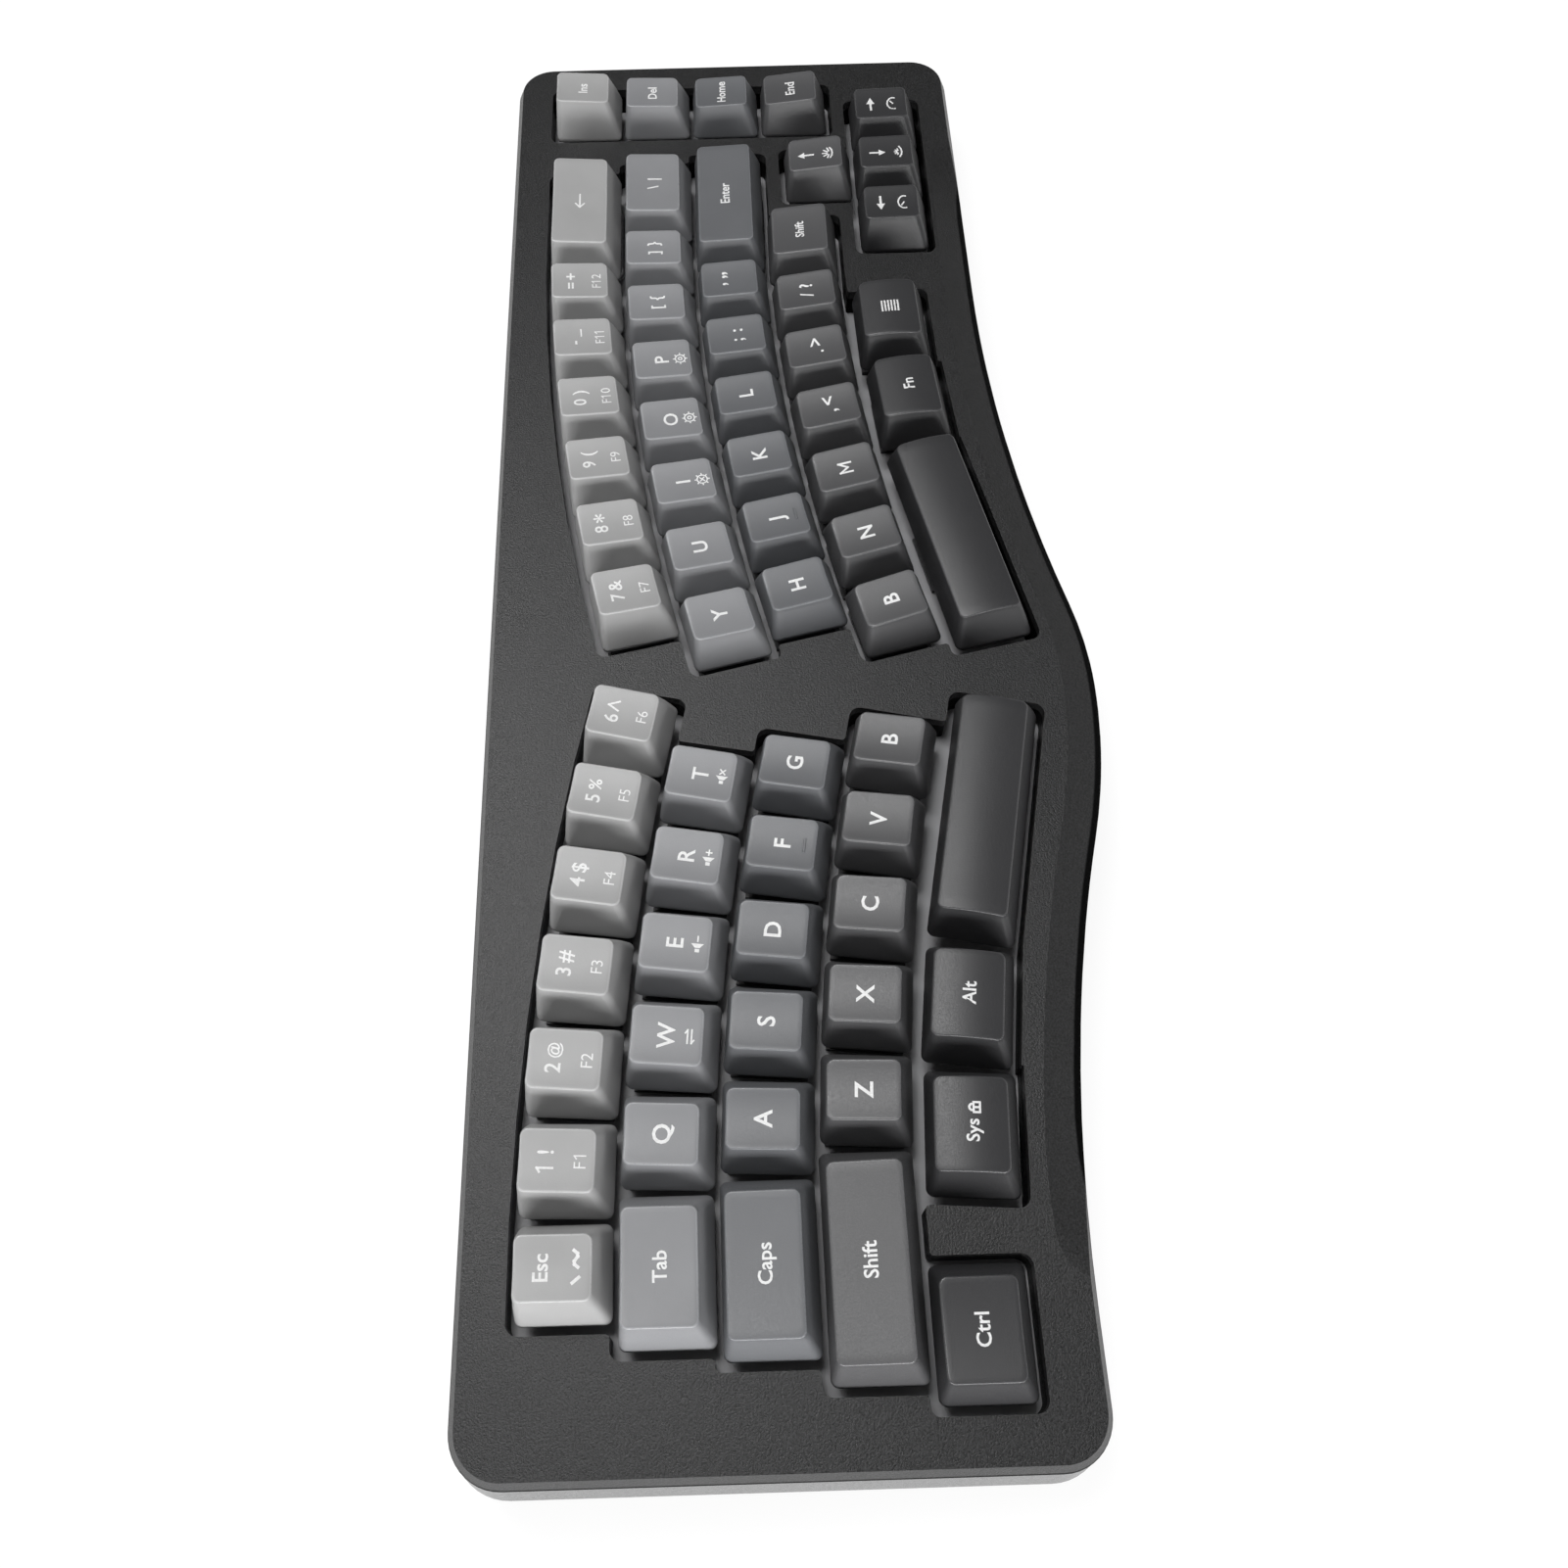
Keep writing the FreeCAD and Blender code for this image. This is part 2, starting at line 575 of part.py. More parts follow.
def make_wire(name, reach):
    """A bent wire in front of the switch, whose two ends point back at the housings."""
    bend = s.wire_bend
    y = s.wire_y
    z = s.wire_diameter / 2 + s.fit_clearance
    end_y = -s.stabiliser_length / 2 - s.stabiliser_flange - 2 * s.fit_clearance
    right = Vector(reach, y + bend, z)
    left = Vector(-reach, y + bend, z)
    middle = math.sqrt(0.5) * bend
    path = [
        Part.LineSegment(Vector(reach, max(end_y, right.y + s.wire_end), z), right).toShape(),
        Part.Arc(right, Vector(reach - bend + middle, y + bend - middle, z),
                 Vector(reach - bend, y, z)).toShape(),
        Part.LineSegment(Vector(reach - bend, y, z), Vector(bend - reach, y, z)).toShape(),
        Part.Arc(Vector(bend - reach, y, z), Vector(bend - reach - middle, y + bend - middle, z),
                 left).toShape(),
        Part.LineSegment(left, Vector(-reach, max(end_y, left.y + s.wire_end), z)).toShape(),
    ]
    route = Part.Wire(path)
    start = path[0].Vertexes[0].Point
    ring = Part.Wire(Part.makeCircle(s.wire_diameter / 2, start, Vector(0, 1, 0)))
    return solid_feature(name, route.makePipeShell([ring], True, False))


# Flat outlines of the case, the plate and the openings.

def arc_points(centre, radius, start, end):
    """An arc about a centre from one direction to another, in degrees."""
    points = []
    for angle in (start, (start + end) / 2, end):
        turn = math.radians(angle)
        points.append(centre + radius * Vector(math.cos(turn), math.sin(turn), 0))
    return Part.Arc(*points).toShape()


def case_wire(side, front, z, corner):
    """The case's outline, drawn in by side at three sides and by front along the front."""
    left = s.case_left + side
    right = s.case_right - side
    rear = s.case_rear - side
    nose = s.bulge_y + front
    low_left = s.case_front_left + front
    low_right = s.case_front_right + front
    edges = []

    def line(x1, y1, x2, y2):
        edges.append(Part.LineSegment(Vector(x1, y1, z), Vector(x2, y2, z)).toShape())

    def half_bulge(start_x, low, nose_radius, side):
        """The hollow shoulder and the rounded nose at one side of the bulge's middle."""
        across = abs(s.bulge_x - start_x)
        drop = low - nose
        both = (across ** 2 + drop ** 2) / (2 * drop)
        lean = math.degrees(math.atan2(across, both - drop))
        shoulder = arc_points(Vector(start_x, low - both + nose_radius, z),
                              both - nose_radius, 90, 90 - side * lean)
        tip = arc_points(Vector(s.bulge_x, nose + nose_radius, z), nose_radius,
                         270 - side * lean, 270)
        return [shoulder, tip]

    line(left, rear - corner, left, low_left + corner)
    edges.append(arc_points(Vector(left + corner, low_left + corner, z), corner, 180, 270))
    line(left + corner, low_left, s.bulge_start_x, low_left)
    edges += half_bulge(s.bulge_start_x, low_left, s.bulge_left_radius - front, 1)
    edges += reversed(half_bulge(s.bulge_end_x, low_right, s.bulge_right_radius - front, -1))
    line(s.bulge_end_x, low_right, right - corner, low_right)
    edges.append(arc_points(Vector(right - corner, low_right + corner, z), corner, 270, 360))
    line(right, low_right + corner, right, rear - corner)
    edges.append(arc_points(Vector(right - corner, rear - corner, z), corner, 0, 90))
    line(right - corner, rear, left + corner, rear)
    edges.append(arc_points(Vector(left + corner, rear - corner, z), corner, 90, 180))
    return Part.Wire(edges)


def case_prism(name, side, front, bottom, height, corner):
    face = solid_feature(name + "_face", Part.Face(case_wire(side, front, 0, corner)))
    return extrusion(name, face, bottom, height)


def case_loft(name, lower, upper):
    """A solid between two outlines of the case, each given as side, front, z and corner."""
    wires = [
        solid_feature(name + "_lower", case_wire(*lower)),
        solid_feature(name + "_upper", case_wire(*upper)),
    ]
    return new("Part::Loft", name, Sections=wires, Solid=True, Ruled=True)


def footprint(key, margin):
    """A key's base, grown by a margin, as a flat face."""
    half_x = (key.width * s.key_pitch - s.key_gap) / 2 + margin
    half_y = base_width / 2 + margin
    corners = [Vector(x, y, 0) for x, y in
               ((-half_x, -half_y), (half_x, -half_y), (half_x, half_y), (-half_x, half_y))]
    placed = key.placement()
    points = [placed.multVec(corner) for corner in corners]
    return Part.Face(Part.makePolygon(points + points[:1]))


STRAIGHT = 0.001
LEAST_TURN = math.radians(8)
SIDE_SHARE = 0.45


def corner_turn(points, index):
    """How far the outline turns at a point, in radians, whichever way it turns."""
    before = points[index - 1] - points[index]
    after = points[(index + 1) % len(points)] - points[index]
    return math.pi - before.getAngle(after)


def rounded_face(points, radius, step_radius):
    """A polygon with its corners rounded as far as their sides allow, inward ones less."""
    points = [point for index, point in enumerate(points)
              if corner_turn(points, index) > STRAIGHT]
    upwards = Part.Face(Part.makePolygon(points + points[:1])).normalAt(0, 0).z > 0
    corners = []
    for index, corner in enumerate(points):
        before = points[index - 1] - corner
        after = points[(index + 1) % len(points)] - corner
        turn = corner_turn(points, index)
        if turn < LEAST_TURN:
            corners.append([corner])
            continue
        steps_in = (after.cross(before).z > 0) != upwards
        wanted = step_radius if steps_in else radius
        shorter = min(before.Length, after.Length)
        reach = min(wanted * math.tan(turn / 2), SIDE_SHARE * shorter)
        bend = reach / math.tan(turn / 2)
        before.normalize()
        after.normalize()
        inward = math.sqrt(bend ** 2 + reach ** 2) - bend
        middle = (before + after).normalize()
        corners.append([corner + before * reach, corner + middle * inward,
                        corner + after * reach])
    edges = []
    for index, corner in enumerate(corners):
        if len(corner) == 3:
            edges.append(Part.Arc(*corner).toShape())
        following = corners[(index + 1) % len(corners)][0]
        edges.append(Part.LineSegment(corner[-1], following).toShape())
    return Part.Face(Part.Wire(edges))


def window_faces(margin, radius, step_radius):
    """The openings in the deck: the keys' footprints grown by a margin and joined."""
    thick = 1.0
    slabs = [footprint(key, margin).extrude(Vector(0, 0, -thick)) for key in keys]
    joined = slabs[0].multiFuse(slabs[1:]).removeSplitter()
    windows = []
    for face in joined.Faces:
        if face.BoundBox.ZMin > -thick / 2:
            points = [vertex.Point for vertex in face.OuterWire.OrderedVertexes]
            windows.append(rounded_face(points, radius, step_radius))
    return windows


# Screws: three near the front edge, which join the two halves of the case, and others that
# also hold the switch plate.

edge_inset = s.wall + s.pillar_diameter / 2 + s.pillar_gap
EDGE_SCREWS = [
    (s.case_left + edge_inset, s.case_front_left + edge_inset),
    (s.bulge_x, s.bulge_y + edge_inset),
    (s.case_right - edge_inset, s.case_front_right + edge_inset),
]
PLATE_SCREWS = [
    (s.case_left + s.left_screw_x, s.case_rear - s.left_screw_y),
    (s.bulge_x + s.middle_screw_x, s.case_rear - s.middle_screw_y),
    (s.navigation_x - s.right_screw_x, s.case_rear - s.right_screw_y),
    (s.bulge_x + s.centre_screw_x, s.bulge_y + s.centre_screw_y),
    (s.menu_x + s.menu_screw_x, -BOTTOM * s.key_pitch - s.menu_screw_y),
]
screws = EDGE_SCREWS + PLATE_SCREWS


def screw_is_on_plate(place):
    return place in PLATE_SCREWS


def make_screw(name, place):
    x, y = place
    head = s.screw_head_height
    seat = -s.screw_seat
    shank = cylinder(name + "_shank", "sizes.screw_shank", s.screw_seat + s.screw_engagement,
                     x, y, seat)
    cap = cylinder(name + "_cap", "sizes.screw_head", head, x, y, seat - head)
    drive = new("Part::Prism", name + "_drive", at(x, y, seat - head), Polygon=6,
                Circumradius="sizes.screw_head / 4", Height="sizes.socket_recess")
    return cut(name, fuse(name + "_solid", [cap, shank]), drive)


# The desk's plane, seen from the deck's frame, and what lies under it.

desk_z = seam_z - s.front_height
desk = Placement(Vector(0, s.bulge_y, desk_z), Rotation(Vector(1, 0, 0), -s.typing_angle))


def below_desk(name, rise):
    """A slab whose top is parallel to the desk, a given rise over the case's underside."""
    thing = new("Part::Box", name, Length=12 * far, Width=8 * far, Height=far)
    thing.Placement = desk.multiply(at(-6 * far, -4 * far, rise - far))
    return thing


def foot_places():
    """Feet at the four corners and one under the bulge, on the desk's plane."""
    left = s.case_left + s.foot_inset
    right = s.case_right - s.foot_inset
    front = s.case_front_right + s.foot_front_inset - s.bulge_y
    rear = (s.case_rear - s.foot_rear_inset - s.bulge_y) / math.cos(math.radians(s.typing_angle))
    return [
        (left, front), (right, front), (left, rear), (right, rear),
        (s.bulge_x, s.foot_front_inset),
    ]


def make_pads(name, margin, height, bottom):
    """Rounded pads at the feet's places, standing on the desk's plane."""
    half_x = s.foot_length / 2 + margin
    half_y = s.foot_width / 2 + margin
    pads = []
    for index, (x, y) in enumerate(foot_places()):
        corners = [Vector(x + i * half_x, y + j * half_y, 0)
                   for i, j in ((-1, -1), (1, -1), (1, 1), (-1, 1))]
        round_ends = rounded_face(corners, half_y * s.foot_round, 0)
        face = solid_feature(f"{name}_face_{index}", round_ends)
        pad = extrusion(f"{name}_{index}", face, 0, height)
        pad.Placement = desk.multiply(at(0, 0, bottom))
        pads.append(pad)
    return group(name, pads)


# The case.

FRONT_EDGES = slice(2, 8)
STATIONS = 28


def front_stations():
    """Places along the case's front edge, each with the direction that points outwards."""
    front_edges = case_wire(0, 0, 0, s.case_corner).Edges[FRONT_EDGES]
    points = sorted(Part.Wire(front_edges).discretize(Number=STATIONS),
                    key=lambda point: point.x)
    stations = []
    for before, here, after in zip(points, points[1:], points[2:]):
        along = (after - before).normalize()
        stations.append((here, Vector(along.y, -along.x, 0)))
    return stations


def front_bevel_cutter():
    """What the front bevel takes off the deck: a wedge that rises off it at both ends."""
    beyond = 2.0
    stations = front_stations()
    first = stations[0][0].x
    last = stations[-1][0].x
    wires = []
    for here, outwards in stations:
        share = min(min(here.x - first, last - here.x) / s.bevel_fade, 1)
        share = share ** 2 * (3 - 2 * share)
        drop = s.front_drop * share
        fall = drop / s.front_bevel * beyond
        crease_z = deck_z + s.bevel_lift * (1 - share)
        inner = here - outwards * (s.front_bevel + beyond)
        outer = here + outwards * beyond
        top = deck_z + 2 * beyond
        wires.append(Part.makePolygon([
            Vector(inner.x, inner.y, crease_z + fall),
            Vector(outer.x, outer.y, crease_z - drop - fall),
            Vector(outer.x, outer.y, top),
            Vector(inner.x, inner.y, top),
            Vector(inner.x, inner.y, crease_z + fall),
        ]))
    return solid_feature("front_bevel_cutter", Part.makeLoft(wires, True))


def make_top_case(windows, curtains):
    shell = [
        case_loft("top_case_bevel", (0, 0, rim_z, s.case_corner),
                  (s.side_bevel, s.side_bevel, deck_z, s.case_corner - s.side_bevel)),
        case_prism("top_case_rim", 0, 0, seam_z, s.rim_lip, s.case_corner),
    ]
    outside = cut("top_case_outside", fuse("top_case_shell", shell), front_bevel_cutter())
    roof_z = deck_z - s.deck_thickness
    side = s.wall + s.lip_clearance + s.lip_thickness
    front = s.front_bevel + s.cavity_margin
    cavity = case_prism("top_case_cavity", side, front, seam_z, roof_z - seam_z,
                        s.case_corner / 2)
    hollow = cut("top_case_hollow", outside, cavity)
    tongue = cut(
        "top_case_tongue",
        case_prism("tongue_outer", s.wall + s.lip_clearance, s.wall + s.lip_clearance,
                   seam_z - s.lip_depth, s.lip_depth, s.case_corner - s.wall),
        case_prism("tongue_inner", side, side, seam_z - s.lip_depth, s.lip_depth,
                   s.case_corner / 2))
    walls = [extrusion(f"curtain_{index}", face, 2 * s.fit_clearance, roof_z - s.fit_clearance)
             for index, face in enumerate(curtains)]
    bosses = []
    pilots = []
    for index, place in enumerate(screws):
        foot = 0.0 if screw_is_on_plate(place) else -s.plate_thickness
        bosses.append(cylinder(f"top_boss_{index}", "sizes.boss_diameter",
                               roof_z - foot + s.fit_clearance, *place, foot))
        pilots.append(cylinder(f"top_pilot_{index}",
                               "sizes.screw_shank + 2 * sizes.fit_clearance",
                               s.screw_engagement + s.fit_clearance - foot, *place, foot))
    solid = fuse("top_case_solid", [hollow, tongue] + walls + bosses)
    holes = [extrusion(f"opening_{index}", face, -far, 2 * far)
             for index, face in enumerate(windows)]
    return cut("top_case_body", solid, group("top_case_openings", holes + pilots))


def make_bottom_case(pads):
    corner = s.case_corner
    leaning = case_loft(
        "tub_flare", (-s.flare, -s.flare, seam_z - s.seam_gap - s.flare_depth, corner + s.flare),
        (0, 0, seam_z - s.seam_gap, corner))
    straight = case_prism("tub_skirt", -s.flare, -s.flare, -far,
                          far + seam_z - s.seam_gap - s.flare_depth, corner + s.flare)
    block = cut("tub_block", fuse("tub_outer", [leaning, straight]),
                below_desk("tub_underside", 0))
    inner = case_prism("tub_inner", s.wall, s.wall, -far, 2 * far, corner - s.wall)
    cavity = cut("tub_cavity", inner, below_desk("tub_floor", s.floor_thickness))
    tub = cut("tub", block, cavity)
    pillars = []
    holes = []
    for index, place in enumerate(screws):
        top = -s.plate_thickness
        pillars.append(cylinder(f"pillar_{index}", "sizes.pillar_diameter", far, *place,
                                top - far))
        holes.append(cylinder(f"pillar_hole_{index}",
                              "sizes.screw_shank + 2 * sizes.screw_clearance", far, *place,
                              top - far))
        holes.append(cylinder(f"pillar_bore_{index}",
                              "sizes.screw_head + 2 * sizes.screw_clearance",
                              far, *place, -s.screw_seat - far))
    standing = cut("tub_pillars", group("tub_pillar_group", pillars),
                   below_desk("tub_pillar_feet", s.floor_thickness / 2))
    play = 2 * s.socket_play
    mouth = box("socket_opening", s.socket_width + play, s.socket_passage,
                s.socket_height + play, s.socket_x, s.case_rear, socket_z - s.socket_play)
    solid = fuse("tub_solid", [tub, standing])
    return cut("bottom_case_body", solid, group("tub_holes", holes + [mouth, pads]))


# The plate, the board and the socket.

def stabiliser_spots():
    spots = []
    for key in keys:
        for place in stem_places(key.reach)[1:]:
            spots.append(key.placement().multiply(at(place, 0, 0)))
    return spots


def square_hole(name, width, length, placement, depth):
    thing = new("Part::Box", name, Length=width, Width=length, Height=3 * depth)
    thing.Placement = placement.multiply(at(-width / 2, -length / 2, -depth))
    return thing


def plate_like(name, inset, bottom, thick):
    """A sheet that follows the case's front, with a step forward for the arrow keys."""
    main = case_prism(name + "_main", s.plate_side_inset + inset, s.plate_front_inset + inset,
                      bottom, thick, s.case_corner / 2)
    front = s.up_arrow_y - 1.5 * s.key_pitch - s.plate_margin + inset
    step = box(name + "_step", 3 * s.key_pitch + 2 * (s.plate_margin - inset), s.key_pitch,
               thick, s.down_arrow_x, front + s.key_pitch / 2, bottom)
    return fuse(name, [main, step])


def make_plate():
    thick = s.plate_thickness
    sheet_metal = plate_like("plate_blank", 0, -thick, thick)
    holes = [square_hole(f"plate_hole_{key.name}", s.plate_hole, s.plate_hole,
                         key.placement(-thick), thick) for key in keys]
    play = 2 * s.fit_clearance
    for index, spot in enumerate(stabiliser_spots()):
        lowered = spot.multiply(at(0, 0, -thick))
        holes.append(square_hole(f"plate_slot_{index}", s.stabiliser_width + play,
                                 s.stabiliser_length + play, lowered, thick))
    for index, place in enumerate(PLATE_SCREWS):
        holes.append(cylinder(f"plate_screw_hole_{index}",
                              "sizes.screw_shank + 2 * sizes.screw_clearance",
                              far, *place, -far / 2))
    return cut("plate_sheet", sheet_metal, group("plate_holes", holes))


def make_board():
    thick = s.board_thickness
    blank = plate_like("board_blank", s.board_inset, board_z - thick, thick)
    holes = [cylinder(f"board_hole_{key.name}",
                      "sizes.housing_post + 2 * sizes.fit_clearance", far,
                      key.x, key.y, board_z - far / 2) for key in keys]
    for index, place in enumerate(PLATE_SCREWS):
        holes.append(cylinder(f"board_pillar_hole_{index}",
                              "sizes.pillar_diameter + 2 * sizes.board_hole_clearance",
                              far, *place, board_z - far / 2))
    return cut("board_sheet", blank, group("board_holes", holes))


socket_z = board_z - s.board_thickness - s.socket_height
socket_y = s.case_rear + s.flare / 2 - s.socket_set_back - s.socket_length / 2


def make_socket():
    """The receptacle under the board's rear edge: a rounded shell with its tongue."""
    width = s.socket_width
    tall = s.socket_height
    shell = box("socket_shell", "sizes.socket_width", "sizes.socket_length",
                "sizes.socket_height", s.socket_x, socket_y, socket_z)
    doc.recompute([shell])
    long_edges = [number for number, edge in enumerate(shell.Shape.Edges, 1)
                  if abs(edge.Length - s.socket_length) < near]
    rounded = fillet("socket_rounded", shell, long_edges, s.socket_corner)
    sheet_metal = 2 * s.socket_wall
    mouth = box("socket_mouth", width - sheet_metal, s.socket_length, tall - sheet_metal,
                s.socket_x, socket_y + s.socket_back, socket_z + s.socket_wall)
    root = s.socket_back / 2
    tip = s.tongue_set_back
    tongue = box("socket_tongue", s.tongue_width, s.socket_length - root - tip,
                 s.tongue_thickness, s.socket_x, socket_y + (root - tip) / 2,
                 socket_z + (tall - s.tongue_thickness) / 2)
    return fuse("socket_body", [cut("socket_hollow", rounded, mouth), tongue])


# Put everything together.

nodes = []


def node(name, parts):
    thing = group(name, parts)
    thing.Label = name
    nodes.append(thing)


stem = make_stem()
stabiliser_stem = make_stabiliser_stem()
housing = make_housing()
spring = make_spring()
stabiliser_housing = make_stabiliser_housing()
wires = {reach: make_wire(f"wire_{index}", reach)
         for index, reach in enumerate((s.stabiliser_reach, s.space_stabiliser_reach))}

windows = [solid_feature(f"window_{index}", face) for index, face in enumerate(
    window_faces(s.window_gap, s.window_corner, s.step_corner))]
curtains = [solid_feature(f"curtain_face_{index}", face) for index, face in enumerate(
    window_faces(s.window_gap + s.window_wall, s.window_corner + s.window_wall, s.step_corner))]

caps = {}
key_parts = {}
housings = []
springs = []
stabiliser_housings = []
stabiliser_wires = []
for key in keys:
    kind = (key.row, key.width, key.crowned)
    if kind not in caps:
        caps[kind] = make_cap(f"cap_{len(caps)}", key)
    raised = group(f"cap_of_{key.name}", [caps[kind]], at(0, 0, skirt_z))
    moving = [raised, stem]
    for place in stem_places(key.reach)[1:]:
        moving.append(group(f"stabiliser_stem_{key.name}_{len(moving)}", [stabiliser_stem],
                            at(place, 0, 0)))
        stabiliser_housings.append(group(
            f"stabiliser_housing_{key.name}_{len(moving)}", [stabiliser_housing],
            key.placement().multiply(at(place, 0, 0))))
    if key.reach:
        stabiliser_wires.append(group(f"wire_{key.name}", [wires[key.reach]], key.placement()))
    key_parts[key.name] = group(f"moving_{key.name}", moving, key.placement())
    housings.append(group(f"housing_{key.name}", [housing], key.placement()))
    springs.append(group(f"spring_{key.name}", [spring], key.placement()))

node("top_case", [make_top_case(windows, curtains)])
foot_bottom = s.foot_recess - s.foot_height
recesses = make_pads("foot_recesses", s.fit_clearance, s.foot_recess, 0)
node("bottom_case", [make_bottom_case(recesses)])
node("rubber_feet", [make_pads("feet", 0, s.foot_height, foot_bottom)])
node("switch_plate", [make_plate()])
node("circuit_board", [make_board()])
node("usb_socket", [make_socket()])
node("case_screws", [make_screw(f"screw_{index}", place) for index, place in enumerate(screws)])
node("switch_housings", housings)
node("switch_springs", springs)
node("stabiliser_housings", stabiliser_housings)
node("stabiliser_wires", stabiliser_wires)
grouped = {name for names in GROUPS.values() for name in names}
for name, members in GROUPS.items():
    node(name, [key_parts[member] for member in members])
for key in keys:
    if key.name not in grouped:
        node(f"key_{key.name}", [key_parts[key.name]])
doc.recompute()


# Tip the keyboard to its typing angle, centre it and stand it on the desk.

tipped = Placement(Vector(0, 0, 0), Rotation(Vector(1, 0, 0), s.typing_angle))
whole = Part.makeCompound([thing.Shape for thing in nodes])
whole.Placement = tipped
bounds = whole.BoundBox
centre = Vector(-bounds.Center.x, -bounds.Center.y, -bounds.ZMin)
on_desk = Placement(centre, tipped.Rotation)
for thing in nodes:
    thing.Placement = on_desk
doc.recompute()

faults = [thing.Name for thing in doc.Objects
          if "Invalid" in thing.State or "Error" in thing.State]
for thing in nodes:
    if thing.Shape.isNull() or not thing.Shape.isValid() or not thing.Shape.Solids:
        faults.append(thing.Label)
if faults:
    raise RuntimeError("not built: " + ", ".join(faults))

os.makedirs("parts", exist_ok=True)
for thing in nodes:
    thing.Shape.exportStep(os.path.join("parts", thing.Label + ".step"))
print(len(nodes), "nodes", sum(len(thing.Shape.Solids) for thing in nodes), "solids")
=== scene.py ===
import math

import bpy
from mathutils import Matrix, Vector


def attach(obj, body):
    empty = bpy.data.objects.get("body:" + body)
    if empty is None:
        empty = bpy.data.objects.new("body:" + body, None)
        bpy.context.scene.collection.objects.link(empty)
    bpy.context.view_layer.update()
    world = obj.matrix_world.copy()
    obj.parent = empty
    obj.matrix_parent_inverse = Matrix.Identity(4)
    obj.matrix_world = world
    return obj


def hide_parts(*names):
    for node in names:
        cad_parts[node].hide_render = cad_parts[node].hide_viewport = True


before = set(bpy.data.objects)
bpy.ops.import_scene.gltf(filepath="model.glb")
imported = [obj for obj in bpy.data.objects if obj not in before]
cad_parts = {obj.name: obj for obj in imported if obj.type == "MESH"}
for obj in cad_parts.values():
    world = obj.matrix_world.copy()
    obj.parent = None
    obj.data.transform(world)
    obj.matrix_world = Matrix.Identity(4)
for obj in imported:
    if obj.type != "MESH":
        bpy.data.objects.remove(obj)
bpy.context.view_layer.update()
MM = 0.001


# The keyboard's deck: its own frame has X to the right, Y to the rear and Z square to the
# keys, with the origin under the escape key on top of the switch plate. Sizes of the deck and
# the keys are in millimetres, widths of keys in key pitches and turns in degrees.

TILT = math.radians(5)
ORIGIN = Vector((-0.1485, 0.0472351, 0.0239977))
DECK = Matrix.Translation(ORIGIN) @ Matrix.Rotation(TILT, 4, "X")
UP = DECK.to_3x3() @ Vector((0, 0, 1))
SKIRT = 6.2
SEAM_Z = 0.0046
RIM_Z = 0.0074
PITCH = 19.05
FAN = 545.0
LEFT_FAN_X = 0.0
RIGHT_FAN_X = 262.1
KEY_GAP = 0.95
BASE_DEPTH = PITCH - KEY_GAP
TOP_DEPTH = 14.2
SIDE_SLOPE = 3.12
TOP_SHIFT = 1.15
DISH = 0.55
CROWN = 0.8
NUMBER, UPPER, HOME, LOWER, BOTTOM = range(5)
ROW_HEIGHTS = [(10.9, 10.0), (8.6, 8.2), (7.7, 8.4), (7.9, 9.5), (8.6, 9.0)]
ROW_SLOTS = ["caps_silver", "caps_light_grey", "caps_mid_grey", "caps_dark_grey",
             "caps_charcoal"]

OUTER_LEFT = [("escape", 1), ("tab", 1.5), ("caps_lock", 1.75), ("left_shift", 2.25)]
LEFT_FAN = [
    ["digit_1", "digit_2", "digit_3", "digit_4", "digit_5", "digit_6"],
    ["q", "w", "e", "r", "t"],
    ["a", "s", "d", "f", "g"],
    ["z", "x", "c", "v", "left_b"],
]
OUTER_RIGHT = [("backspace", 2, 268.7), ("backslash", 1.5, 277.0), ("enter", 2.25, 272.9),
               ("right_shift", 1.25, 258.1)]
RIGHT_FAN = [
    ["equals", "minus", "digit_0", "digit_9", "digit_8", "digit_7"],
    ["right_bracket", "left_bracket", "p", "o", "i", "u", "y"],
    ["apostrophe", "semicolon", "l", "k", "j", "h"],
    ["slash", "period", "comma", "m", "n", "right_b"],
]
NAVIGATION = ["insert", "delete", "home", "end"]
NAVIGATION_X = 312.3
ARROW_X = 286
UP_ARROW_Y = -62.8
CONTROL_X = -12.4
MODIFIER_WIDTH = 1.33
SPACE_WIDTH = 3.03
BOTTOM_DROP = 1.1
LEFT_MODIFIERS = [("super", 23.7, -3.8), ("alt", 49.1, -7.5)]
SPACE_BARS = [("left_space", 90.7, -87.4, -11.7), ("right_space", 162.6, -88.7, 12.3)]
RIGHT_MODIFIERS = [("function", 204, 5), ("menu", 229.4, 1.8)]
NODE_OF = {
    "digit_keys_left": LEFT_FAN[NUMBER],
    "digit_keys_right": RIGHT_FAN[NUMBER],
    "punctuation_keys": ["right_bracket", "left_bracket", "backslash", "apostrophe",
                         "semicolon", "slash", "period", "comma"],
    "navigation_keys": NAVIGATION,
}


class Key:
    def __init__(self, name, row, width, x, y, turn, crowned=False):
        self.name = name
        self.row = row
        self.half = (width * PITCH - KEY_GAP) / 2
        self.crowned = crowned
        self.rear, self.front = ROW_HEIGHTS[row]
        self.place = (DECK @ Matrix.Translation(Vector((x, y, SKIRT)) * MM)
                      @ Matrix.Rotation(math.radians(turn), 4, "Z"))
        self.node = "key_" + name
        for node, members in NODE_OF.items():
            if name in members:
                self.node = node

    def top(self, x, y):
        """Height of the cap's upper face over its skirt, in the key's own frame."""
        along = y - TOP_SHIFT
        plane = (self.rear + self.front) / 2 + (self.rear - self.front) / TOP_DEPTH * along
        if self.crowned:
            return plane + CROWN * (1 - (along / (TOP_DEPTH / 2)) ** 2)
        return plane - DISH * (1 - (x / (self.half - SIDE_SLOPE)) ** 2)


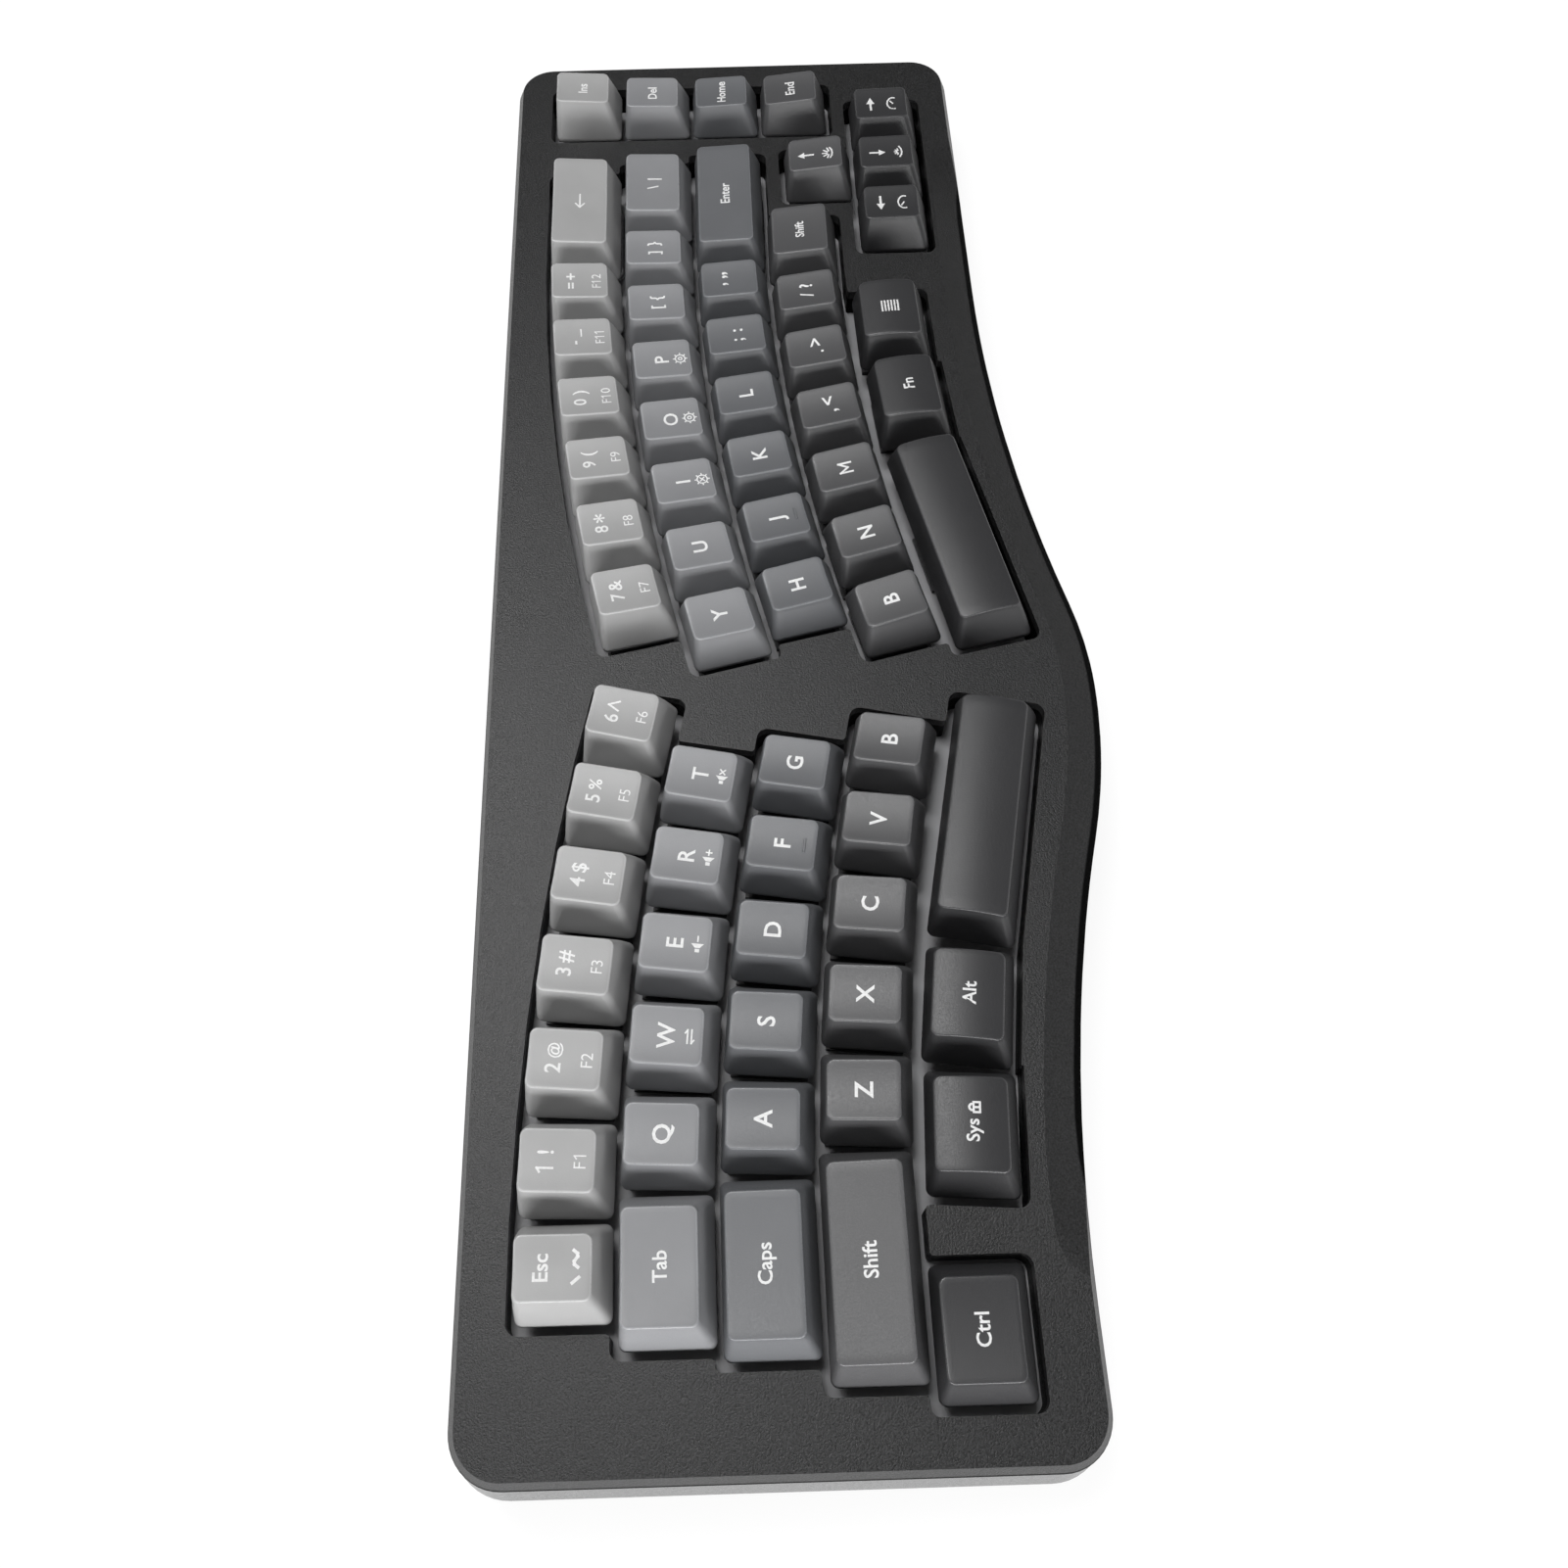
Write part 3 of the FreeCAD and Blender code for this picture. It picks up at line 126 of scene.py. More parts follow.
def fan_keys(names, row, fan_x, first_x, side):
    radius = FAN - row * PITCH
    angle = math.asin(side * (first_x - fan_x) / radius)
    step = 2 * math.asin(PITCH / 2 / radius)
    keys = []
    for name in names:
        x = fan_x + side * radius * math.sin(angle)
        y = radius * math.cos(angle) - FAN
        keys.append(Key(name, row, 1, x, y, -side * math.degrees(angle)))
        angle += step
    return keys


def modifier_keys(modifiers, fan_x):
    """Keys of the bottom row that follow a fan's curve: name, place to the right and turn."""
    radius = FAN - BOTTOM * PITCH
    keys = []
    for name, x, turn in modifiers:
        y = math.sqrt(radius ** 2 - (x - fan_x) ** 2) - FAN - BOTTOM_DROP
        keys.append(Key(name, BOTTOM, MODIFIER_WIDTH, x, y, turn, True))
    return keys


def lay_out_keys():
    keys = []
    for row in range(BOTTOM):
        y = -row * PITCH
        name, width = OUTER_LEFT[row]
        keys.append(Key(name, row, width, 0, y, 0))
        keys += fan_keys(LEFT_FAN[row], row, LEFT_FAN_X, (width + 1) / 2 * PITCH, 1)
        name, width, x = OUTER_RIGHT[row]
        keys.append(Key(name, row, width, x, y, 0))
        keys += fan_keys(RIGHT_FAN[row], row, RIGHT_FAN_X, x - (width + 1) / 2 * PITCH, -1)
        keys.append(Key(NAVIGATION[row], row, 1, NAVIGATION_X, y, 0))
    keys.append(Key("control", BOTTOM, MODIFIER_WIDTH, CONTROL_X, -BOTTOM * PITCH, 0))
    keys += modifier_keys(LEFT_MODIFIERS, LEFT_FAN_X)
    for name, x, y, turn in SPACE_BARS:
        keys.append(Key(name, BOTTOM, SPACE_WIDTH, x, y, turn, True))
    keys += modifier_keys(RIGHT_MODIFIERS, RIGHT_FAN_X)
    keys.append(Key("up_arrow", LOWER, 1, ARROW_X, UP_ARROW_Y, 0))
    for step, name in enumerate(("left_arrow", "down_arrow", "right_arrow"), -1):
        keys.append(Key(name, BOTTOM, 1, ARROW_X + step * PITCH, UP_ARROW_Y - PITCH, 0))
    return {key.name: key for key in keys}


keys = lay_out_keys()


# Materials. Grain is a noise scale per metre, and heights of bumps are in metres.

FINE_GRAIN = 2600
CLOUD_GRAIN = 90
ROUGHNESS_SPREAD = 0.06


def new_material(name):
    material = bpy.data.materials.new(name)
    material.use_nodes = True
    tree = material.node_tree
    return material, tree, tree.nodes["Principled BSDF"]


def link(tree, source, target):
    tree.links.new(source, target)


def noise(tree, scale, detail=2.0, rough=0.5):
    place = tree.nodes.new("ShaderNodeTexCoord")
    texture = tree.nodes.new("ShaderNodeTexNoise")
    texture.inputs["Scale"].default_value = scale
    texture.inputs["Detail"].default_value = detail
    texture.inputs["Roughness"].default_value = rough
    link(tree, place.outputs["Object"], texture.inputs["Vector"])
    return texture.outputs["Fac"]


def ramp(tree, value, low_colour, high_colour, low_at=0.3, high_at=0.7):
    node = tree.nodes.new("ShaderNodeValToRGB")
    node.color_ramp.elements[0].position = low_at
    node.color_ramp.elements[1].position = high_at
    node.color_ramp.elements[0].color = (*low_colour, 1)
    node.color_ramp.elements[1].color = (*high_colour, 1)
    link(tree, value, node.inputs["Fac"])
    return node.outputs["Color"]


def bump(tree, value, height, shader):
    node = tree.nodes.new("ShaderNodeBump")
    node.inputs["Distance"].default_value = height
    node.inputs["Strength"].default_value = 1.0
    link(tree, value, node.inputs["Height"])
    link(tree, node.outputs["Normal"], shader.inputs["Normal"])


def grained(name, colour, vary, roughness, grain, height, specular=0.5):
    """A surface with a little unevenness in colour and a fine grain."""
    material, tree, shader = new_material(name)
    cloud = noise(tree, CLOUD_GRAIN, 3)
    darker = [c * (1 - vary) for c in colour]
    lighter = [c * (1 + vary) for c in colour]
    link(tree, ramp(tree, cloud, darker, lighter), shader.inputs["Base Color"])
    fine = noise(tree, grain, 3, 0.6)
    rough = ramp(tree, fine, [roughness - ROUGHNESS_SPREAD] * 3,
                 [roughness + ROUGHNESS_SPREAD] * 3)
    link(tree, rough, shader.inputs["Roughness"])
    shader.inputs["Specular IOR Level"].default_value = specular
    bump(tree, fine, height, shader)
    return material


def deck_z(tree):
    """Height over the switch plate, square to the deck, in metres."""
    place = tree.nodes.new("ShaderNodeTexCoord")
    turned = tree.nodes.new("ShaderNodeVectorMath")
    turned.operation = "DOT_PRODUCT"
    turned.inputs[1].default_value = UP
    link(tree, place.outputs["Object"], turned.inputs[0])
    level = tree.nodes.new("ShaderNodeMath")
    level.operation = "SUBTRACT"
    level.inputs[1].default_value = ORIGIN.dot(UP)
    link(tree, turned.outputs["Value"], level.inputs[0])
    return level.outputs["Value"]


SPECKLE_DARK = (0.005, 0.005, 0.005)
SPECKLE_LIGHT = (0.03, 0.03, 0.031)
# Painted shade along the seam: shares of the height from the seam up to the rim, and the level
# that colour and gloss are darkened to there.
PAINTED_SEAM_SHADE = [(0.12, 0.1), (0.18, 1.0)]
DECK_ROUGHNESS = (0.3, 0.46)
DECK_SPECULAR = 0.45
DECK_BUMP = 0.00012


def deck_plastic():
    """Black moulded plastic with a fine speckled grain, and painted shade along the seam that
    darkens the colour and the gloss low on the bevel.
    """
    material, tree, shader = new_material("deck_plastic")
    fine = noise(tree, FINE_GRAIN, 3, 0.65)
    speckle = ramp(tree, fine, SPECKLE_DARK, SPECKLE_LIGHT, 0.35, 0.65)
    # Painted shade: a dark line low on the bevel, just above the seam, that fades out a little
    # higher.
    lines = tree.nodes.new("ShaderNodeValToRGB")
    for element, (at, level) in zip(lines.color_ramp.elements, PAINTED_SEAM_SHADE):
        element.position = at
        element.color = (level, level, level, 1)
    share = tree.nodes.new("ShaderNodeMapRange")
    share.inputs["From Min"].default_value = SEAM_Z
    share.inputs["From Max"].default_value = RIM_Z
    link(tree, deck_z(tree), share.inputs["Value"])
    link(tree, share.outputs["Result"], lines.inputs["Fac"])
    shade = tree.nodes.new("ShaderNodeMix")
    shade.data_type = "RGBA"
    shade.blend_type = "MULTIPLY"
    shade.inputs["Factor"].default_value = 1.0
    link(tree, speckle, shade.inputs["A"])
    link(tree, lines.outputs["Color"], shade.inputs["B"])
    link(tree, shade.outputs["Result"], shader.inputs["Base Color"])
    smooth, coarse = DECK_ROUGHNESS
    rough = ramp(tree, fine, [smooth] * 3, [coarse] * 3)
    link(tree, rough, shader.inputs["Roughness"])
    # The painted seam shade dims the gloss as well.
    gloss = tree.nodes.new("ShaderNodeMath")
    gloss.operation = "MULTIPLY"
    gloss.inputs[1].default_value = DECK_SPECULAR
    link(tree, lines.outputs["Color"], gloss.inputs[0])
    link(tree, gloss.outputs["Value"], shader.inputs["Specular IOR Level"])
    bump(tree, fine, DECK_BUMP, shader)
    return material


CAP_COLOURS = {
    "caps_silver": (0.36, 0.36, 0.36),
    "caps_light_grey": (0.235, 0.238, 0.248),
    "caps_mid_grey": (0.126, 0.13, 0.138),
    "caps_dark_grey": (0.076, 0.076, 0.079),
    "caps_charcoal": (0.032, 0.032, 0.034),
}
# Painted highlight: the caps' rounded top edges get a lighter, glossier copy of each cap colour,
# standing in for the light that the edges catch.
HIGHLIGHT_GAIN = 1.2
HIGHLIGHT_LIFT = 0.02
cap_materials = {}
edge_highlight_materials = {}
for slot, colour in CAP_COLOURS.items():
    cap_materials[slot] = grained(slot + "_plastic", colour, vary=0.04, roughness=0.42,
                                  grain=FINE_GRAIN, height=0.00002)
    painted_highlight = [c * HIGHLIGHT_GAIN + HIGHLIGHT_LIFT for c in colour]
    edge_highlight_materials[slot] = grained(slot + "_edge_highlight", painted_highlight, vary=0.02, roughness=0.3,
                                   grain=FINE_GRAIN, height=0.000005)
wall_plastic = grained("wall_plastic", (0.04, 0.04, 0.041), vary=0.04, roughness=0.26,
                       grain=1500, height=0.00001, specular=0.6)
plate_paint = grained("plate_paint", (0.32, 0.32, 0.33), vary=0.04, roughness=0.45,
                      grain=2200, height=0.00002)
board_lacquer = grained("board_lacquer", (0.01, 0.035, 0.02), vary=0.1, roughness=0.4,
                        grain=700, height=0.00002)
switch_plastic = grained("switch_plastic", (0.05, 0.05, 0.052), vary=0.05, roughness=0.45,
                         grain=1800, height=0.00001)
pad_rubber = grained("pad_rubber", (0.02, 0.02, 0.02), vary=0.08, roughness=0.8,
                     grain=1200, height=0.00006)


STEEL_GRAIN = 900
STEEL_DARK = (0.5, 0.5, 0.52)
STEEL_LIGHT = (0.66, 0.66, 0.68)
STEEL_ROUGHNESS = (0.25, 0.4)
INK_GRAIN = 1800
INK_DARK = (0.74, 0.74, 0.74)
INK_LIGHT = (0.86, 0.86, 0.86)
INK_ROUGHNESS = 0.5


def plain_steel():
    material, tree, shader = new_material("plain_steel")
    shader.inputs["Metallic"].default_value = 1.0
    fine = noise(tree, STEEL_GRAIN, 4, 0.6)
    link(tree, ramp(tree, fine, STEEL_DARK, STEEL_LIGHT), shader.inputs["Base Color"])
    smooth, coarse = STEEL_ROUGHNESS
    link(tree, ramp(tree, fine, [smooth] * 3, [coarse] * 3), shader.inputs["Roughness"])
    return material


def legend_ink():
    material, tree, shader = new_material("legend_ink")
    fine = noise(tree, INK_GRAIN, 2)
    link(tree, ramp(tree, fine, INK_DARK, INK_LIGHT), shader.inputs["Base Color"])
    shader.inputs["Roughness"].default_value = INK_ROUGHNESS
    return material


steel = plain_steel()
ink = legend_ink()
NODE_MATERIALS = {
    "top_case": deck_plastic(), "bottom_case": wall_plastic, "switch_plate": plate_paint,
    "circuit_board": board_lacquer, "usb_socket": steel, "case_screws": steel,
    "rubber_feet": pad_rubber, "switch_housings": switch_plastic, "switch_springs": steel,
    "stabiliser_housings": switch_plastic, "stabiliser_wires": steel,
}


def paint(thing, material):
    thing.data.materials.clear()
    thing.data.materials.append(material)


for node, material in NODE_MATERIALS.items():
    paint(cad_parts[node], material)
for key in keys.values():
    if key.node.startswith("key_"):
        paint(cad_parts[key.node], cap_materials[ROW_SLOTS[key.row]])
for node in NODE_OF:
    paint(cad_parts[node], cap_materials["caps_light_grey"])


# Keycaps.

CORNER_STEPS = 5
SIDE_STEPS = 8


def outline(half_x, half_y, radius, shift):
    """A rounded rectangle as points, with points along its sides too."""
    points = []
    corners = [(1, 1, 0), (-1, 1, 90), (-1, -1, 180), (1, -1, 270)]
    for index, (sx, sy, start) in enumerate(corners):
        cx = sx * (half_x - radius)
        cy = sy * (half_y - radius)
        for step in range(CORNER_STEPS + 1):
            angle = math.radians(start + 90 / CORNER_STEPS * step)
            points.append((cx + radius * math.cos(angle), cy + radius * math.sin(angle)))
        nx, ny = corners[(index + 1) % 4][:2]
        ex = nx * (half_x - radius)
        ey = ny * (half_y - radius)
        last = points[-1]
        end_angle = math.radians(start + 90)
        end = (ex + radius * math.cos(end_angle), ey + radius * math.sin(end_angle))
        for step in range(1, SIDE_STEPS):
            share = step / SIDE_STEPS
            points.append((last[0] + (end[0] - last[0]) * share,
                           last[1] + (end[1] - last[1]) * share))
    return [(x, y + shift) for x, y in points]


# A cap's sizes in millimetres, and the shares of its height and its top at which rings lie.
# The edge levels are the bands between rings, counted from the boss, that form the rounded edge
# and carry the painted highlight.

EDGE_LEVELS = (14, 15, 16)
CAP_WALL = 1.4
CAP_ROOF = 1.7
CAVITY_CORNER = 0.6
BOSS_RADIUS = 2.75
BOSS_FOOT = 2.5
EDGE_ROUND = 0.4
TOP_CORNER = 1.5
BASE_CORNER = 1.6
SKIRT_ROUND = 0.12
SKIRT_RISE = 0.1
SIDE_BOW = 0.05
SIDE_SHARES = (0.02, 0.08, 0.2, 0.35, 0.5, 0.65, 0.8, 0.92, 1.0)
EDGE_ANGLES = (22.5, 45, 67.5, 90)
TOP_SHARES = (0.9, 0.75, 0.55, 0.35, 0.15)


def cap_rings(key):
    """Rings of points from the boss inside, round the skirt, up the sides and over the edge."""
    base_y = BASE_DEPTH / 2
    top_x = key.half - SIDE_SLOPE
    top_y = TOP_DEPTH / 2
    rim = outline(top_x, top_y, TOP_CORNER, TOP_SHIFT)
    heights = [key.top(x, y) for x, y in rim]
    rings = []

    def add(points, levels):
        rings.append([Vector((x, y, z)) * MM for (x, y), z in zip(points, levels)])

    inner = outline(key.half - CAP_WALL, base_y - CAP_WALL, CAVITY_CORNER, 0)
    roof = min(key.rear, key.front) - CAP_ROOF
    if not key.crowned:
        roof -= DISH
    share = roof / ((key.rear + key.front) / 2)
    boss = []
    for x, y in inner:
        reach = BOSS_RADIUS / math.hypot(x, y)
        boss.append((x * reach, y * reach))
    add(boss, [BOSS_FOOT] * len(inner))
    add(boss, [roof] * len(inner))
    add(outline(key.half - CAP_WALL - SIDE_SLOPE * share,
                base_y - CAP_WALL - (base_y - top_y) * share, CAVITY_CORNER,
                TOP_SHIFT * share), [roof] * len(inner))
    add(inner, [0.0] * len(inner))
    add(outline(key.half - SKIRT_ROUND, base_y - SKIRT_ROUND, TOP_CORNER, 0),
        [0.0] * len(inner))
    for share in SIDE_SHARES:
        lean = share - SIDE_BOW * math.sin(math.pi * share)
        corner = BASE_CORNER + (TOP_CORNER - BASE_CORNER) * share
        add(outline(key.half - SIDE_SLOPE * lean, base_y + (top_y - base_y) * lean, corner,
                    TOP_SHIFT * lean),
            [share * (height - EDGE_ROUND) + SKIRT_RISE * (1 - share) for height in heights])
    for angle in EDGE_ANGLES:
        turn = math.radians(angle)
        inset = EDGE_ROUND * (1 - math.cos(turn))
        rise = EDGE_ROUND * math.sin(turn) - EDGE_ROUND
        points = outline(top_x - inset, top_y - inset, TOP_CORNER - inset, TOP_SHIFT)
        add(points, [key.top(x, y) + rise for x, y in points])
    for share in TOP_SHARES:
        points = outline((top_x - EDGE_ROUND) * share, (top_y - EDGE_ROUND) * share,
                         (TOP_CORNER - EDGE_ROUND) * share, TOP_SHIFT)
        add(points, [key.top(x, y) for x, y in points])
    return rings


def mesh_piece(name, points, faces, material, place):
    mesh = bpy.data.meshes.new(name)
    mesh.from_pydata(points, [], faces)
    mesh.transform(place)
    mesh.update()
    mesh.materials.append(material)
    thing = bpy.data.objects.new(name, mesh)
    bpy.context.scene.collection.objects.link(thing)
    return thing


def make_cap(key):
    rings = cap_rings(key)
    count = len(rings[0])
    points = [point for ring in rings for point in ring]
    faces = []
    for level in range(len(rings) - 1):
        for index in range(count):
            following = (index + 1) % count
            faces.append((level * count + index, level * count + following,
                          (level + 1) * count + following, (level + 1) * count + index))
    faces.append(tuple(range(count))[::-1])
    last = (len(rings) - 1) * count
    faces.append(tuple(range(last, last + count)))
    slot = ROW_SLOTS[key.row]
    cap = mesh_piece("cap_" + key.name, points, faces, cap_materials[slot], key.place)
    cap.data.materials.append(edge_highlight_materials[slot])
    for polygon in cap.data.polygons:
        # The bands of the rounded top edge take the lighter material with the painted highlight.
        polygon.material_index = int(polygon.index // count in EDGE_LEVELS)
    cap.data.shade_smooth()
    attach(cap, key.node)
    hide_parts(key.node)


for key in keys.values():
    make_cap(key)


# Legends: plain letters, digits and function words, and small line signs.

PROUD = 0.012
INK_DEPTH = 0.02
CAPITAL_SHARE = 0.7


def laid_on(key, points):
    """Flat points, with a little thickness, laid on the cap's upper face."""
    return [Vector((x, y, key.top(x, y) + PROUD + z)) * MM for x, y, z in points]


def text_outline(text, height, weight):
    """The points and faces of a line of text whose capitals have the given height."""
    curve = bpy.data.curves.new("text", "FONT")
    curve.body = text
    curve.size = height / CAPITAL_SHARE
    curve.offset = weight
    curve.extrude = INK_DEPTH / 2
    curve.resolution_u = 3
    curve.align_x = "CENTER"
    holder = bpy.data.objects.new("text", curve)
    bpy.context.scene.collection.objects.link(holder)
    bpy.context.view_layer.update()
    graph = bpy.context.evaluated_depsgraph_get()
    mesh = bpy.data.meshes.new_from_object(holder.evaluated_get(graph))
    points = [tuple(vertex.co) for vertex in mesh.vertices]
    faces = [tuple(polygon.vertices) for polygon in mesh.polygons]
    bpy.data.objects.remove(holder)
    bpy.data.curves.remove(curve)
    bpy.data.meshes.remove(mesh)
    return points, faces


BLOCK_FACES = [(3, 2, 1, 0), (4, 5, 6, 7), (0, 1, 5, 4), (1, 2, 6, 5), (2, 3, 7, 6),
               (3, 0, 4, 7)]


def strokes(lines, width):
    """Thin bars along broken lines: the small signs are drawn with these."""
    points = []
    faces = []
    for line in lines:
        for (x1, y1), (x2, y2) in zip(line, line[1:]):
            length = math.hypot(x2 - x1, y2 - y1)
            ux, uy = (x2 - x1) / length, (y2 - y1) / length
            half = width / 2
            ax, ay = x1 - ux * half, y1 - uy * half
            bx, by = x2 + ux * half, y2 + uy * half
            first = len(points)
            for z in (-INK_DEPTH / 2, INK_DEPTH / 2):
                points += [(ax - uy * half, ay + ux * half, z),
                           (ax + uy * half, ay - ux * half, z),
                           (bx + uy * half, by - ux * half, z),
                           (bx - uy * half, by + ux * half, z)]
            faces += [tuple(first + i for i in quad) for quad in BLOCK_FACES]
    return points, faces


def ring(radius, start=0, end=360, steps=14, x=0.0, y=0.0):
    line = []
    for step in range(steps + 1):
        angle = math.radians(start + (end - start) * step / steps)
        line.append((x + radius * math.cos(angle), y + radius * math.sin(angle)))
    return line


def rays(inner, outer, count, start=0, sweep=360, y=0.0):
    lines = []
    for step in range(count):
        angle = math.radians(start + sweep * step / count)
        lines.append([(reach * math.cos(angle), reach * math.sin(angle) + y)
                      for reach in (inner, outer)])
    return lines


def filled(shapes):
    """Flat filled shapes from their corners, given anticlockwise."""
    points = []
    faces = []
    for corners in shapes:
        first = len(points)
        count = len(corners)
        for z in (-INK_DEPTH / 2, INK_DEPTH / 2):
            points += [(x, y, z) for x, y in corners]
        faces.append(tuple(first + i for i in reversed(range(count))))
        faces.append(tuple(first + count + i for i in range(count)))
        for i in range(count):
            following = (i + 1) % count
            faces.append((first + i, first + following, first + count + following,
                          first + count + i))
    return points, faces


def gauge(tip):
    line = [(2.2 * x, 1.6 * y - 0.6) for x, y in ring(1.0, -15, 195, 14)]
    return [line, [(0, -0.5), tip]], []


# Each sign has its lines and its filled shapes, in millimetres.

SPEAKER = [[(-1.6, -0.45), (-0.85, -0.45), (-0.85, 0.45), (-1.6, 0.45)],
           [(-0.65, -0.5), (0.25, -1.3), (0.25, 1.3), (-0.65, 0.5)]]
COG = [ring(1.2), ring(0.45, steps=8)] + rays(1.3, 1.65, 8)
LIST_LINES = [[(-1.6, y), (1.6, y)] for y in (-1.2, -0.4, 0.4, 1.2)]
SIGNS = {
    "one": ([[(-0.75, 0.95), (0, 1.45), (0, -1.45)]], []),
    "thin_one": ([[(-0.55, 0.65), (0, 1.05), (0, -1.05)]], []),
    "hat": ([[(-1.1, -1.1), (0, 1.1), (1.1, -1.1)]], []),
    "m": ([[(-1.35, -1.45), (-1.35, 1.4), (0, -0.6), (1.35, 1.4), (1.35, -1.45)]], []),
    "grave": ([[(-0.55, 0.6), (0.4, -0.55)]], []),
    "tilde": ([[(-1.45, -0.35), (-0.95, 0.25), (-0.4, 0.3), (0.4, -0.3), (0.95, -0.25),
                (1.45, 0.35)]], []),
    "left": ([[(2.4, 0), (-2.2, 0)], [(-0.9, 1.1), (-2.3, 0), (-0.9, -1.1)]], []),
    "arrow_left": ([[(2.2, 0), (-0.3, 0)]], [[(-2.5, 0), (-0.2, -1.1), (-0.2, 1.1)]]),
    "arrow_right": ([[(-2.2, 0), (0.3, 0)]], [[(2.5, 0), (0.2, 1.1), (0.2, -1.1)]]),
    "arrow_up": ([[(0, -1.8), (0, 0.6)]], [[(-1.1, 0.5), (1.1, 0.5), (0, 2.3)]]),
    "arrow_down": ([[(0, 1.8), (0, -0.6)]], [[(1.1, -0.5), (-1.1, -0.5), (0, -2.3)]]),
    "mute": ([[(0.7, 0.5), (1.7, -0.5)], [(0.7, -0.5), (1.7, 0.5)]], SPEAKER),
    "louder": ([[(0.75, 0), (1.85, 0)], [(1.3, 0.55), (1.3, -0.55)]], SPEAKER),
    "softer": ([[(0.75, 0), (1.75, 0)]], SPEAKER),
    "swap": ([[(-1.35, 0.4), (1.35, 0.4), (0.7, 0.85)],
              [(1.35, -0.4), (-1.35, -0.4), (-0.7, -0.85)]], []),
    "cog": (COG, []),
    "cog_cross": ([ring(1.2)] + rays(1.3, 1.65, 8) + [[(-0.5, -0.5), (0.5, 0.5)],
                                                      [(-0.5, 0.5), (0.5, -0.5)]], []),
    "brighter": (rays(0.8, 1.9, 5, 20, 175, -0.7)
                 + [[(-1.9, -0.75), (-1.1, -1.2), (0, -1.35), (1.1, -1.2), (1.9, -0.75)]], []),
    "dimmer": (rays(0.6, 1.1, 5, 20, 175, -0.3)
               + [[(-1.9, -0.45), (-1.1, -0.9), (0, -1.05), (1.1, -0.9), (1.9, -0.45)]], []),
    "slower": gauge((-0.9, 0.1)),
    "faster": gauge((0.9, 0.1)),
    "list": ([[(-1.6, 2.0), (1.6, 2.0), (1.6, -2.0), (-1.6, -2.0), (-1.6, 2.0)]] + LIST_LINES,
             []),
    "lock": ([[(-0.95, 0.1), (0.95, 0.1), (0.95, -1.1), (-0.95, -1.1), (-0.95, 0.1)],
              ring(0.6, 0, 180, 8, 0, 0.3), [(0, -0.3), (0, -0.7)]], []),
}


# Each legend has its parts: text or a sign, its capital height for text, its place and its
# weight. A digit and its symbol stand on one line of the cap, the function word on another.

LETTER_HEIGHT = 3.4
DIGIT_HEIGHT = 3.0
FUNCTION_HEIGHT = 2.3
PAIR_X = 1.55
DIGIT_Y = 2.2
FUNCTION_Y = -4.2
SIGN_Y = -4.4
SIGNED_LETTER_Y = 0.2
ARROW_Y = 2.4
SIDE_ARROW_Y = 2.8
LIGHT_SIGN_Y = -3.2
SPEED_SIGN_Y = -2.8
LETTER_WEIGHT = 0.09
WORD_WEIGHT = 0.06
PAIR_WEIGHT = 0.07
DIGIT_WEIGHT = 0.05
FUNCTION_WEIGHT = -0.01
THIN_ONE_WEIGHT = 0.25
SIGN_WEIGHT = 0.3
BOLD_SIGN_WEIGHT = 0.4


def letter(text):
    return [("text", text, LETTER_HEIGHT, 0.0, 0.0, LETTER_WEIGHT)]


def word(text, height=2.6):
    return [("text", text, height, 0.0, 0.0, WORD_WEIGHT)]


def pair(first, second, height=3.2, y=0.0, weight=PAIR_WEIGHT):
    return [("text", first, height, -PAIR_X, y, weight),
            ("text", second, height, PAIR_X, y, weight)]


def numeral(text, x):
    return [("text", text, DIGIT_HEIGHT, x, DIGIT_Y, DIGIT_WEIGHT)]


def symbol(text, height, x, y=DIGIT_Y, weight=DIGIT_WEIGHT):
    return [("text", text, height, x, y, weight)]


def digit(number, mark, function):
    return pair(number, mark, DIGIT_HEIGHT, DIGIT_Y, DIGIT_WEIGHT) + function_word(function)


def function_word(text, x=0.0):
    return [("text", text, FUNCTION_HEIGHT, x, FUNCTION_Y, FUNCTION_WEIGHT)]


def thin_one(x):
    return [("sign", "thin_one", 0, x, FUNCTION_Y, THIN_ONE_WEIGHT)]


def sign(name, weight, x=0.0, y=0.0):
    return [("sign", name, 0, x, y, weight)]


def with_sign(text, name):
    return ([("text", text, LETTER_HEIGHT, 0.0, SIGNED_LETTER_Y, PAIR_WEIGHT)]
            + sign(name, SIGN_WEIGHT, 0.0, SIGN_Y))


def arrow(name, weight, arrow_y, function, function_y):
    return sign(name, weight, 0.0, arrow_y) + sign(function, BOLD_SIGN_WEIGHT, 0.0, function_y)


